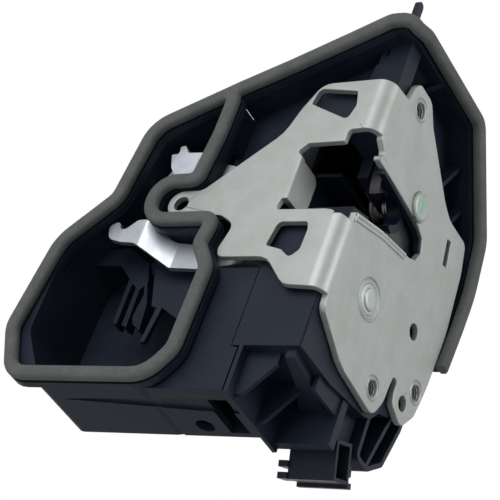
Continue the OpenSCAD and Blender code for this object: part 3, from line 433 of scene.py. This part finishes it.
# %% Metals
BLOOM_MM, ROLLED_MM, PIT_MM, SPECK_MM = 11, 2.2, 0.5, 4.5
ROLLING = (1, 1, 0.09)
SPECK_COLOUR = (84, 88, 88)
SPECK_SHARE, RUBBED_SHARE, RUBBED_BRIGHTER = 0.5, 0.35, 1.22
ROLLED_SWING, BLOOM_SWING = 0.2, 0.14


def pressed_steel(name, base, bloom, rough, metal, depth_mm):
    """Rolled metal between two tones, rough on average, with marks of depth_mm."""
    paint = Paint(name, Metallic=metal)
    cloud = paint.noise(BLOOM_MM, detail=5, rough=0.6)
    rolled = paint.noise(ROLLED_MM, detail=5, rough=0.65, at=paint.stretched(*ROLLING))
    pits = paint.noise(PIT_MM, detail=3)
    clean = colour(*base)
    tone = paint.mix(cloud.ramp(0.35, 0.68), clean, colour(*bloom))
    specks = 1 - paint.cells(SPECK_MM).ramp(0.03, 0.07)
    tone = paint.mix(specks * SPECK_SHARE, tone, colour(*SPECK_COLOUR))
    rubbed = (*(min(1.0, c * RUBBED_BRIGHTER) for c in clean[:3]), 1.0)
    paint.set(Base_Color=paint.mix(rolled.ramp(0.52, 0.75) * RUBBED_SHARE, tone, rubbed))
    least = rough - (ROLLED_SWING + BLOOM_SWING) / 2
    paint.set(Roughness=rolled * ROLLED_SWING + cloud * BLOOM_SWING + least)
    paint.bump(rolled * 0.5 + pits * 0.5, depth_mm, strength=0.5)
    return paint.material


zinc_plate = pressed_steel(
    "zinc_plate", (142, 145, 144), (135, 140, 136), rough=0.52, metal=0.62, depth_mm=0.02
)
bright_steel = pressed_steel(
    "bright_steel", (160, 165, 171), (146, 151, 158), rough=0.42, metal=0.9, depth_mm=0.012
)
black_steel = pressed_steel(
    "black_steel", (22, 23, 28), (15, 16, 20), rough=0.36, metal=0.3, depth_mm=0.012
)
rivet_steel = pressed_steel(
    "rivet_steel", (148, 155, 152), (134, 142, 138), rough=0.5, metal=0.6, depth_mm=0.02
)
dark_steel = pressed_steel(
    "dark_steel", (112, 112, 114), (94, 94, 98), rough=0.36, metal=1.0, depth_mm=0.015
)
wire_steel = pressed_steel(
    "wire_steel", (150, 150, 146), (128, 128, 126), rough=0.3, metal=1.0, depth_mm=0.01
)
brass = pressed_steel(
    "brass", (205, 175, 110), (180, 148, 88), rough=0.3, metal=1.0, depth_mm=0.01
)
print("metals:", [m.name for m in (zinc_plate, bright_steel, black_steel, rivet_steel)],
      "and", [m.name for m in (dark_steel, wire_steel, brass)])

# %% [markdown]
# ## Pale plastics
# The inner release lever is natural acetal, milky and slightly glossy, and the small gears
# are of the same kind. Light goes a little way into it. A plain white would look like
# paper, so a short subsurface radius lets the light in, and soft clouds keep it uneven.

# %% Pale plastics
LIGHT_GOES_IN = (2 * MM, 2 * MM, 2 * MM)
MILK_MM, MILK_SWING, MILK_SKIN_MM = 5, 0.1, 0.6


def acetal(name, base, shade, rough):
    """Milky plastic between two tones, at its glossiest where the clouds are thin."""
    paint = Paint(name, Subsurface_Weight=0.08, Subsurface_Radius=LIGHT_GOES_IN)
    cloud = paint.noise(MILK_MM, detail=3)
    paint.set(Base_Color=paint.mix(cloud.ramp(0.3, 0.7), colour(*base), colour(*shade)))
    paint.set(Roughness=cloud * MILK_SWING + rough)
    paint.bump(paint.noise(MILK_SKIN_MM), depth_mm=0.01, strength=0.4)
    return paint.material


white_acetal = acetal("white_acetal", (184, 188, 196), (168, 173, 184), rough=0.3)
grey_plastic = acetal("grey_plastic", (140, 142, 146), (122, 124, 130), rough=0.4)
gear_plastic = acetal("gear_plastic", (206, 200, 176), (192, 186, 160), rough=0.35)
print("pale plastics:", [m.name for m in (white_acetal, grey_plastic, gear_plastic)])

# %% [markdown]
# ## Foam, rubber and a dab of paint
# The seal is closed-cell foam with a dull grey skin, pitted by open cells and dusted where
# fingers touched it. The pits are too many and too small to model, so scattered cells give
# both their shade and their relief. The rubber stop and the green test mark are made by the
# function for the mouldings, which already has what they need.

# %% Foam, rubber and paint
FOAM_GREY, FOAM_DUST, FOAM_PIT_SHADE = (71, 74, 74), (82, 85, 83), (50, 51, 50)
DUST_MM, PIT_APART_MM, FOAM_GRAIN_MM = 9, 0.55, 0.35
PIT_SHADE_SHARE, FOAM_ROUGH, FOAM_SWING = 0.35, 0.8, 0.12


def foam(name):
    """Grey foam with a dusty skin, and open pits with painted shade in them."""
    paint = Paint(name, Specular_IOR_Level=0.25)
    dust = paint.noise(DUST_MM, detail=5, rough=0.6)
    skin = paint.cells(PIT_APART_MM).ramp(0.1, 0.75)
    grain = paint.noise(FOAM_GRAIN_MM, detail=3, rough=0.7)
    tone = paint.mix(dust.ramp(0.3, 0.75), colour(*FOAM_GREY), colour(*FOAM_DUST))
    # The pits' relief is bump, and their darkening is painted shade, deepest at the bottom of
    # each pit.
    paint.set(Base_Color=paint.mix((1 - skin) * PIT_SHADE_SHARE, tone, colour(*FOAM_PIT_SHADE)))
    paint.set(Roughness=grain * FOAM_SWING + FOAM_ROUGH)
    paint.bump(skin * 0.6 + grain * 0.4, depth_mm=0.07, strength=0.7)
    return paint.material


seal_foam = foam("seal_foam")
rubber = moulded(
    "bumper_rubber", (14, 14, 15), (20, 20, 21), rough=0.65, grain_mm=0.4, depth_mm=0.03
)
green_paint = moulded(
    "green_paint", (70, 168, 128), (92, 184, 146), rough=0.4, grain_mm=0.5, depth_mm=0.02
)
print("soft finishes:", [m.name for m in (seal_foam, rubber, green_paint)])

# %% [markdown]
# ## Who wears what
# Each piece of the frame gets the finish that its record names. The pieces could be listed
# one by one, but the record already knows the slot of each, so a finish for each slot is
# enough. The meshes aren't touched.

# %% Dress the frame
FINISHES = {
    "moulded_black": black_moulding, "carrier_black": carrier_black, "seal_foam": seal_foam,
    "zinc_plate": zinc_plate, "hardened_steel": black_steel, "quiet_cover": liner_black,
    "rivet_steel": rivet_steel, "spring_wire": wire_steel, "liner_plastic": liner_black,
    "bumper_rubber": rubber, "bright_steel": bright_steel, "white_plastic": white_acetal,
    "grey_plastic": grey_plastic, "motor_can": wire_steel, "worm_plastic": gear_plastic,
    "gear_plastic": gear_plastic, "switch_plastic": switch_black, "contact_brass": brass,
    "screw_steel": dark_steel,
}
slot_of = {part["node"]: part["material_slot"] for part in frame["record"]["subparts"]}
for node_name, node_object in nodes.items():
    for holder in node_object.material_slots:
        holder.material = FINISHES[slot_of[node_name]]
print("dressed:", len(nodes), "pieces, for", len(FINISHES), "slots")

# %% [markdown]
# ## Geometry Nodes as recipes
# Foam cord, thread and serration all follow a path by a rule, which is what Geometry Nodes
# are good at. A tree could be drawn by hand in the editor, but a script can show each step.
# One small class builds a tree with named inputs for its sizes, and ends it with the two
# nodes that make the result a plain mesh in one finish.


# %% A recipe
class Recipe:
    """A Geometry Nodes tree with named inputs, which ends in one finish."""

    def __init__(self, name, **sizes):
        self.group = bpy.data.node_groups.new(name, "GeometryNodeTree")
        face = self.group.interface
        face.new_socket("Path", in_out="INPUT", socket_type="NodeSocketGeometry")
        for title, value in sizes.items():
            socket = face.new_socket(title, in_out="INPUT", socket_type="NodeSocketFloat")
            socket.default_value = value
        face.new_socket("Finish", in_out="INPUT", socket_type="NodeSocketMaterial")
        face.new_socket("Mesh", in_out="OUTPUT", socket_type="NodeSocketGeometry")
        self.start = self.group.nodes.new("NodeGroupInput")
        self.end = self.group.nodes.new("NodeGroupOutput")

    def take(self, title):
        """The wire of one of the recipe's own inputs."""
        return self.start.outputs[title]

    def node(self, kind, settings=None, *values, out=0, **named):
        """A node of any kind: first its settings, then the values or wires of its sockets."""
        node = self.group.nodes.new(kind)
        for key, value in (settings or {}).items():
            setattr(node, key, value)
        for key, value in [*enumerate(values), *named.items()]:
            socket = node.inputs[key if isinstance(key, int) else key.replace("_", " ")]
            if isinstance(value, bpy.types.NodeSocket):
                self.group.links.new(value, socket)
            else:
                socket.default_value = value
        return node.outputs[out]

    def vector(self, x=0.0, y=0.0, z=0.0):
        return self.node("ShaderNodeCombineXYZ", None, x, y, z)

    def times(self, value, factor):
        return self.node("ShaderNodeMath", {"operation": "MULTIPLY"}, value, factor)

    def finish(self, mesh):
        """Make real what is only repeated, give it the finish, and end the recipe."""
        plain = self.node("GeometryNodeRealizeInstances", None, mesh)
        done = self.node(
            "GeometryNodeSetMaterial", None, Geometry=plain, Material=self.take("Finish")
        )
        self.group.links.new(done, self.end.inputs[0])
        return self


print("a recipe has", [name for name in vars(Recipe) if name[0] != "_"])

# %% [markdown]
# ## From a path to a piece
# A recipe needs something to follow. A Blender curve would do, but it can't remember which
# way is outward where the seal goes round the bend. A bare mesh of edges can: it carries the
# outward side as an attribute. The recipe runs on it as a modifier, and what comes out is
# kept as a plain mesh, so that nothing is left to be worked out later.


# %% Lay, cook and keep
def lay_path(name, lines):
    """Edges along lines, each given as its (point, outward side) pairs and if it is closed."""
    points, edges, sides = [], [], []
    for line, closed in lines:
        first = len(points)
        points += [point for point, side in line]
        sides += [side for point, side in line]
        edges += [(i, i + 1) for i in range(first, len(points) - 1)]
        if closed:
            edges.append((len(points) - 1, first))
    mesh = bpy.data.meshes.new(name)
    mesh.from_pydata(points, edges, [])
    outward = mesh.attributes.new("outward", "FLOAT_VECTOR", "POINT")
    for item, side in zip(outward.data, sides):
        item.vector = side
    return add_object(name, mesh)


def keep_shape(piece):
    """Turn what the modifiers make into the piece's own mesh."""
    graph = bpy.context.evaluated_depsgraph_get()
    mesh = bpy.data.meshes.new_from_object(piece.evaluated_get(graph), depsgraph=graph)
    piece.modifiers.clear()
    piece.data = mesh
    print(piece.name, "has", len(mesh.polygons), "faces")


def cook(piece, recipe, finish, **sizes):
    """Run a recipe on a piece, and keep what it makes as a plain mesh."""
    modifier = piece.modifiers.new("recipe", "NODES")
    modifier.node_group = recipe.group
    sizes["Finish"] = finish
    for item in recipe.group.interface.items_tree:
        if item.in_out == "INPUT" and item.name in sizes:
            modifier[item.identifier] = sizes[item.name]
    keep_shape(piece)


print("a path is laid as edges, cooked by a recipe and kept as a plain mesh")

# %% [markdown]
# ## Rounded lines
# Drawings give a line by its corners and a radius for each. A curve object could be bent to
# match by eye, but the seal, the strip and the lip have to lie on the drawing's own lines.
# So the draughtsman's rule is written here once: cut each corner back along both sides, and
# join the ends by an arc in short chords.

# %% A line from its corners
CHORD = math.radians(7)
MOST_OF_A_SIDE = 0.49


def rounded(corners):
    """Points along corners (x, y, radius). One without a radius stays sharp, as open ends do."""
    line = []
    for i, (x, y, *radius) in enumerate(corners):
        here = Vector((x, y))
        if not radius:
            line.append(here)
            continue
        back = Vector(corners[i - 1][:2]) - here
        on = Vector(corners[(i + 1) % len(corners)][:2]) - here
        half = back.angle(on) / 2
        cut = min(radius[0] / math.tan(half), MOST_OF_A_SIDE * min(back.length, on.length))
        arc = cut * math.tan(half)
        inward = (back.normalized() + on.normalized()).normalized()
        middle = here + inward * arc / math.sin(half)
        start, end = (here + way.normalized() * cut - middle for way in (back, on))
        first = math.atan2(start.y, start.x)
        sweep = (math.atan2(end.y, end.x) - first + math.pi) % math.tau - math.pi
        steps = max(1, round(abs(sweep) / CHORD))
        for k in range(steps + 1):
            angle = first + sweep * k / steps
            line.append(middle + arc * Vector((math.cos(angle), math.sin(angle))))
    return line


TRIM_SIDE, SHUT_SIDE = Vector((0, -1, 0)), Vector((1, 0, 0))


def on_trim_face(line):
    """A line drawn in (x, z), laid on the trim-side face, which looks to minus Y."""
    return [(spot(point.x, 0, point.y), TRIM_SIDE) for point in line]


def on_shut_face(line, x):
    """A line drawn in (y, z), laid on the shut face at height x, which looks to plus X."""
    return [(spot(x, point.x, point.y), SHUT_SIDE) for point in line]


print("a corner of radius 5 takes", len(rounded([(0, 0), (20, 0, 5), (20, 20)])) - 2, "points")

# %% [markdown]
# ## One section, swept
# The seal, the liner's lip and the dab of paint are all one section drawn along a line, as
# an extruder or a brush makes them. A curve's own bevel would be round only. This recipe
# takes a rectangle, fillets its corners, lifts it so that its back lies on the path, and
# sweeps it with its top turned outward.

# %% The sweep recipe
CORNER_POINTS = 6


def make_sweep_recipe():
    """A rectangle with round corners, swept along the path on the outward side."""
    recipe = Recipe("swept_section", Width=5 * MM, Height=4 * MM, Radius=1 * MM)
    height = recipe.take("Height")
    box_section = recipe.node(
        "GeometryNodeCurvePrimitiveQuadrilateral", None,
        Width=height, Height=recipe.take("Width"),
    )
    round_section = recipe.node(
        "GeometryNodeFilletCurve", {"mode": "POLY"}, Curve=box_section, Count=CORNER_POINTS,
        Radius=recipe.take("Radius"), Limit_Radius=True,
    )
    raised_section = recipe.node(
        "GeometryNodeTransform", None, Geometry=round_section,
        Translation=recipe.vector(recipe.times(height, 0.5)),
    )
    outward = recipe.node(
        "GeometryNodeInputNamedAttribute", {"data_type": "FLOAT_VECTOR"}, Name="outward"
    )
    path = recipe.node("GeometryNodeMeshToCurve", None, recipe.take("Path"))
    path = recipe.node(
        "GeometryNodeSetCurveNormal", {"mode": "FREE"}, Curve=path, Normal=outward
    )
    return recipe.finish(recipe.node(
        "GeometryNodeCurveToMesh", None,
        Curve=path, Profile_Curve=raised_section, Fill_Caps=True,
    ))


sweep_recipe = make_sweep_recipe()
print("the sweep recipe has", len(sweep_recipe.group.nodes), "nodes")

# %% [markdown]
# ## The foam seal
# The real seal is one cord of soft foam, glued on the rim of the carrier, so it has round
# shoulders and no corner anywhere. The ring goes round the cable tray, and a branch leaves
# it, runs over the top, round the bend and down the side. Where the branch leaves the ring
# two cords would cross, so a voxel remesh melts them into one skin and a few rounds of
# smoothing heal the joint, as the foam's own skin does.

# %% Foam seal
SEAL_WIDTH, SEAL_HEIGHT, SEAL_RADIUS = 5.2, 4.4, 1.9
RIM_X, TOP_Z, BEND_RADIUS = -1.2, 71.2, 1.6
BEND_STEPS = 6
MELT_VOXEL_MM, HEAL_STRENGTH, HEAL_ROUNDS = 0.55, 0.5, 4
RING = [
    (-61.3, 43.4, 3), (-90.6, 28.2, 12), (-94.4, -3.5, 8), (-111.5, -22, 16),
    (-117, -58.5, 10), (-109.5, -77.3, 8), (-54, -77.3, 12), (-46.6, -67, 9),
    (-45.8, -34, 7), (-52, -24.5, 4), (-50.2, -13.5, 3), (-78.8, -13.5, 8),
    (-78.8, 3, 8), (-63.6, 3.3, 3), (-61.3, 24, 20),
]
OVER_TOP = [
    (-72, 37.8), (-60, 44.1, 20), (-41, 53.3, 40), (-21, 63.7, 40), (-7, TOP_Z, 6),
    (RIM_X - BEND_RADIUS, TOP_Z),
]
DOWN_SIDE = [
    (BEND_RADIUS, TOP_Z), (2.5, TOP_Z, 4), (10, 73.7, 8), (58.6, 73.3, 5),
    (84, 37.5, 12), (86.8, 16, 40), (85.9, 1, 40), (84, -18),
]


def round_bend():
    """The short stretch of the branch that turns from the trim side to the shut face."""
    line = []
    for step in range(1, BEND_STEPS):
        angle = math.radians(90 * step / BEND_STEPS)
        side = Vector((math.sin(angle), -math.cos(angle), 0))
        x = RIM_X - BEND_RADIUS + BEND_RADIUS * side.x
        y = BEND_RADIUS + BEND_RADIUS * side.y
        line.append((spot(x, y, TOP_Z), side))
    return line


ring = on_trim_face(rounded(RING))
branch = on_trim_face(rounded(OVER_TOP)) + round_bend() + on_shut_face(rounded(DOWN_SIDE), RIM_X)
foam_seal = lay_path("foam_seal", [(ring, True), (branch, False)])
cook(foam_seal, sweep_recipe, seal_foam,
     Width=SEAL_WIDTH * MM, Height=SEAL_HEIGHT * MM, Radius=SEAL_RADIUS * MM)
melt = foam_seal.modifiers.new("melt", "REMESH")
melt.mode, melt.voxel_size, melt.use_smooth_shade = "VOXEL", MELT_VOXEL_MM * MM, True
heal = foam_seal.modifiers.new("heal", "SMOOTH")
heal.factor, heal.iterations = HEAL_STRENGTH, HEAL_ROUNDS
keep_shape(foam_seal)
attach(foam_seal, "body")
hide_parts("seal")

# %% [markdown]
# ## The pressed plate
# A press tool rolls one edge of each cut over and leaves the other with a fine burr that is
# tumbled away, so no edge of the real plate is sharp. The CAD mesh is loose triangles and
# has to stay as it is, so a bevel can't go on it. A copy is merged, its flat triangles are
# paired, and a Bevel modifier rounds every edge that turns by more than 35 degrees. The copy
# then stands for the plate.

# %% Rounded plate
PLATE_EDGE_MM, EDGE_STEPS = 0.3, 2
MERGE_MM = 0.002
SAME_PLANE, SAME_SHAPE = math.radians(0.5), math.radians(40)
EDGE_TURN, CREASE_TURN = math.radians(35), math.radians(40)

body_of = {
    node: body
    for body, members in frame["record"]["behaviour"]["bodies"].items()
    for node in members
}


def merged_copy(node, name, finish):
    """The mesh of a CAD node again, with its corners merged and its triangles paired."""
    shape = bmesh.new()
    shape.from_mesh(nodes[node].data)
    bmesh.ops.remove_doubles(shape, verts=shape.verts, dist=MERGE_MM * MM)
    bmesh.ops.join_triangles(
        shape, faces=shape.faces,
        angle_face_threshold=SAME_PLANE, angle_shape_threshold=SAME_SHAPE,
    )
    mesh = bpy.data.meshes.new(name)
    shape.to_mesh(mesh)
    shape.free()
    mesh.materials.append(finish)
    return add_object(name, mesh)


def rounded_copy(node, name, width_mm, finish):
    """A copy of a CAD node with its edges rounded, standing for that node."""
    piece = merged_copy(node, name, finish)
    edges = piece.modifiers.new("edges", "BEVEL")
    edges.width, edges.segments = width_mm * MM, EDGE_STEPS
    edges.limit_method, edges.angle_limit = "ANGLE", EDGE_TURN
    edges.use_clamp_overlap = False
    keep_shape(piece)
    piece.data.shade_smooth()
    piece.data.set_sharp_from_angle(angle=CREASE_TURN)
    weigh = piece.modifiers.new("weigh", "WEIGHTED_NORMAL")
    weigh.keep_sharp = True
    keep_shape(piece)
    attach(piece, body_of[node])
    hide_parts(node)


rounded_copy("latch_plate", "pressed_plate", PLATE_EDGE_MM, zinc_plate)

# %% [markdown]
# ## Threads
# The three fixing holes are tapped M6, because the screws come through the door's end face.
# Relief in the material would end in a plain round edge at the mouth of the hole, and a
# boolean cut with a spiral often fails. A spiral swept with a small triangle is a real
# ridge, and the recipe sets one in each hole, which is given as a point.

# %% Threads
FIXINGS = [FIXING_HOLE.yz, (47.5, -49.3), (74.3, -34)]
HOLE_RADIUS, THREAD_PITCH, THREAD_LENGTH = 3.0, 1.0, 5.5
THREAD_X, RIDGE_OF_PITCH = -0.4, 0.36
POINTS_A_TURN, RIDGE_CORNERS = 40, 3
INTO_THE_HOLE = (0, -math.pi / 2, 0)


def make_thread_recipe():
    """A spiral ridge into the hole, from each point of the path."""
    recipe = Recipe("tapped_thread", Radius=3 * MM, Pitch=1 * MM, Length=5 * MM)
    radius, pitch, length = (recipe.take(title) for title in ("Radius", "Pitch", "Length"))
    turns = recipe.node("ShaderNodeMath", {"operation": "DIVIDE"}, length, pitch)
    spiral = recipe.node(
        "GeometryNodeCurveSpiral", None, Resolution=POINTS_A_TURN, Rotations=turns,
        Start_Radius=radius, End_Radius=radius, Height=length,
    )
    ridge = recipe.node(
        "GeometryNodeCurvePrimitiveCircle", None, Resolution=RIDGE_CORNERS,
        Radius=recipe.times(pitch, RIDGE_OF_PITCH),
    )
    thread = recipe.node(
        "GeometryNodeCurveToMesh", None, Curve=spiral, Profile_Curve=ridge, Fill_Caps=True
    )
    return recipe.finish(recipe.node(
        "GeometryNodeInstanceOnPoints", None,
        Points=recipe.take("Path"), Instance=thread, Rotation=INTO_THE_HOLE,
    ))


threads = lay_path(
    "fixing_threads", [([(spot(THREAD_X, y, z), SHUT_SIDE)], False) for y, z in FIXINGS]
)
cook(threads, make_thread_recipe(), bright_steel,
     Radius=HOLE_RADIUS * MM, Pitch=THREAD_PITCH * MM, Length=THREAD_LENGTH * MM)
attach(threads, "body")

# %% [markdown]
# ## The serrated strip
# Along the lower edge of the slot the plate carries a strip of small teeth. Each could be
# set by hand, but they are all alike and evenly apart. So the recipe divides the line into
# equal steps, stands a blunt four-sided cone on each, and turns it along the line.

# %% Serrated strip
STRIP_LINE = [(6.4, -7.7), (23.6, -2.6, 20), (40.3, 0.6)]
STRIP_X, TOOTH_APART, TOOTH_WIDTH, TOOTH_HEIGHT = 0.1, 1.5, 2.0, 0.62
TOOTH_OF_STEP = 0.55
TOOTH_TOP, TOOTH_FOOT, TOOTH_SIDES = 0.35, 0.7, 4
EIGHTH_TURN = (0, 0, math.pi / 4)


def make_teeth_recipe():
    """The same tooth at every step of the path, turned along it."""
    recipe = Recipe("serration", Spacing=1 * MM, Width=2 * MM, Height=0.5 * MM)
    spacing = recipe.take("Spacing")
    line = recipe.node("GeometryNodeMeshToCurve", None, recipe.take("Path"))
    line = recipe.node(
        "GeometryNodeResampleCurve", {"mode": "LENGTH"}, Curve=line, Length=spacing
    )
    upright = recipe.node("FunctionNodeAlignRotationToVector", {"axis": "Z"}, Vector=SHUT_SIDE)
    turn = recipe.node(
        "FunctionNodeAlignRotationToVector", {"axis": "Y", "pivot_axis": "Z"},
        Rotation=upright, Vector=recipe.node("GeometryNodeInputTangent"),
    )
    cone = recipe.node(
        "GeometryNodeMeshCone", None, Vertices=TOOTH_SIDES,
        Radius_Top=TOOTH_TOP, Radius_Bottom=TOOTH_FOOT, Depth=1.0,
    )
    tooth = recipe.node("GeometryNodeTransform", None, Geometry=cone, Rotation=EIGHTH_TURN)
    size = recipe.vector(
        recipe.take("Width"), recipe.times(spacing, TOOTH_OF_STEP), recipe.take("Height")
    )
    return recipe.finish(recipe.node(
        "GeometryNodeInstanceOnPoints", None,
        Points=line, Instance=tooth, Scale=size, Rotation=turn,
    ))


serration = lay_path("slot_serration", [(on_shut_face(rounded(STRIP_LINE), STRIP_X), False)])
cook(serration, make_teeth_recipe(), zinc_plate,
     Spacing=TOOTH_APART * MM, Width=TOOTH_WIDTH * MM, Height=TOOTH_HEIGHT * MM)
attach(serration, "body")

# %% [markdown]
# ## The liner's lip and the test mark
# A black lip of the liner shows just inside the far edge of the slot, where it keeps the
# striker off the steel. The assembler's dab of green paint on the catch rivet says that the
# catch was tested. Both are too slight for the CAD solids. The paint could be a colour on
# the rivet, but a brushed dab stands proud and has round edges, so both are swept.

# %% Liner lip and paint mark
LIP_LINE = [(7.4, 16.6, 2), (20, 16.2, 10), (43.3, 14.3, 2), (47.6, 12.5, 1), (49.3, 8.5)]
LIP_X, LIP_WIDTH, LIP_HEIGHT, LIP_RADIUS = -2.9, 1.3, 2.5, 0.3
MARK_LINE = [(38.9, 23.0), (39.6, 21, 3), (39.8, 18.6)]
MARK_X, MARK_WIDTH, MARK_HEIGHT, MARK_RADIUS = 1.12, 0.9, 0.35, 0.15

slot_lip = lay_path("slot_lip", [(on_shut_face(rounded(LIP_LINE), LIP_X), False)])
cook(slot_lip, sweep_recipe, liner_black,
     Width=LIP_WIDTH * MM, Height=LIP_HEIGHT * MM, Radius=LIP_RADIUS * MM)
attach(slot_lip, "body")

paint_mark = lay_path("paint_mark", [(on_shut_face(rounded(MARK_LINE), MARK_X), False)])
cook(paint_mark, sweep_recipe, green_paint,
     Width=MARK_WIDTH * MM, Height=MARK_HEIGHT * MM, Radius=MARK_RADIUS * MM)
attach(paint_mark, "body")

# %% [markdown]
# ## The pawl's rivet
# The pawl turns on a rivet that was turned on a lathe and headed over in the plate, so its
# low head flows into a thin rim. The CAD solid has plain steps there. A spin in bmesh could
# turn the profile, but it numbers the faces differently in each run. A Screw modifier with
# no rise does the same work in a fixed order, and merges both ends on the axis, so that the
# poles are closed. It turns about the origin, so the mesh is moved to its place afterwards.

# %% Turned rivet
RIVET_Y, RIVET_Z = 29, -26
HEAD_TOP, SEAT, BACK_END = 0.95, -0.29, -17.6
RIM_RADIUS, SHANK_RADIUS = 5.4, 4.0
RIVET_PROFILE = [
    (0, HEAD_TOP), (2.4, HEAD_TOP), (3.5, 0.88), (3.85, 0.7), (4.0, 0.4), (4.1, 0.1),
    (4.4, 0.03), (5.2, 0.02), (RIM_RADIUS, -0.1), (RIM_RADIUS, SEAT), (SHANK_RADIUS, SEAT),
    (SHANK_RADIUS, BACK_END), (0, BACK_END),
]
TURNING_STEPS, POLE_MERGE_MM = 48, 0.001
RIVET_CREASE = math.radians(35)


def turned(name, profile, y, z, finish):
    """A piece turned from (radius, height) points, about a line that stands on the shut face."""
    mesh = bpy.data.meshes.new(name)
    points = [(height * MM, radius * MM, 0) for radius, height in profile]
    mesh.from_pydata(points, [(i, i + 1) for i in range(len(points) - 1)], [])
    mesh.materials.append(finish)
    piece = add_object(name, mesh)
    lathe = piece.modifiers.new("lathe", "SCREW")
    lathe.axis, lathe.angle = "X", math.tau
    lathe.steps = lathe.render_steps = TURNING_STEPS
    lathe.use_merge_vertices, lathe.merge_threshold = True, POLE_MERGE_MM * MM
    lathe.use_normal_calculate = lathe.use_normal_flip = True
    keep_shape(piece)
    piece.data.transform(Matrix.Translation(spot(0, y, z)))
    piece.data.shade_smooth()
    piece.data.set_sharp_from_angle(angle=RIVET_CREASE)
    return piece


pawl_rivet = turned("pawl_rivet", RIVET_PROFILE, RIVET_Y, RIVET_Z, rivet_steel)
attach(pawl_rivet, "body")
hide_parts("pawl_pin")
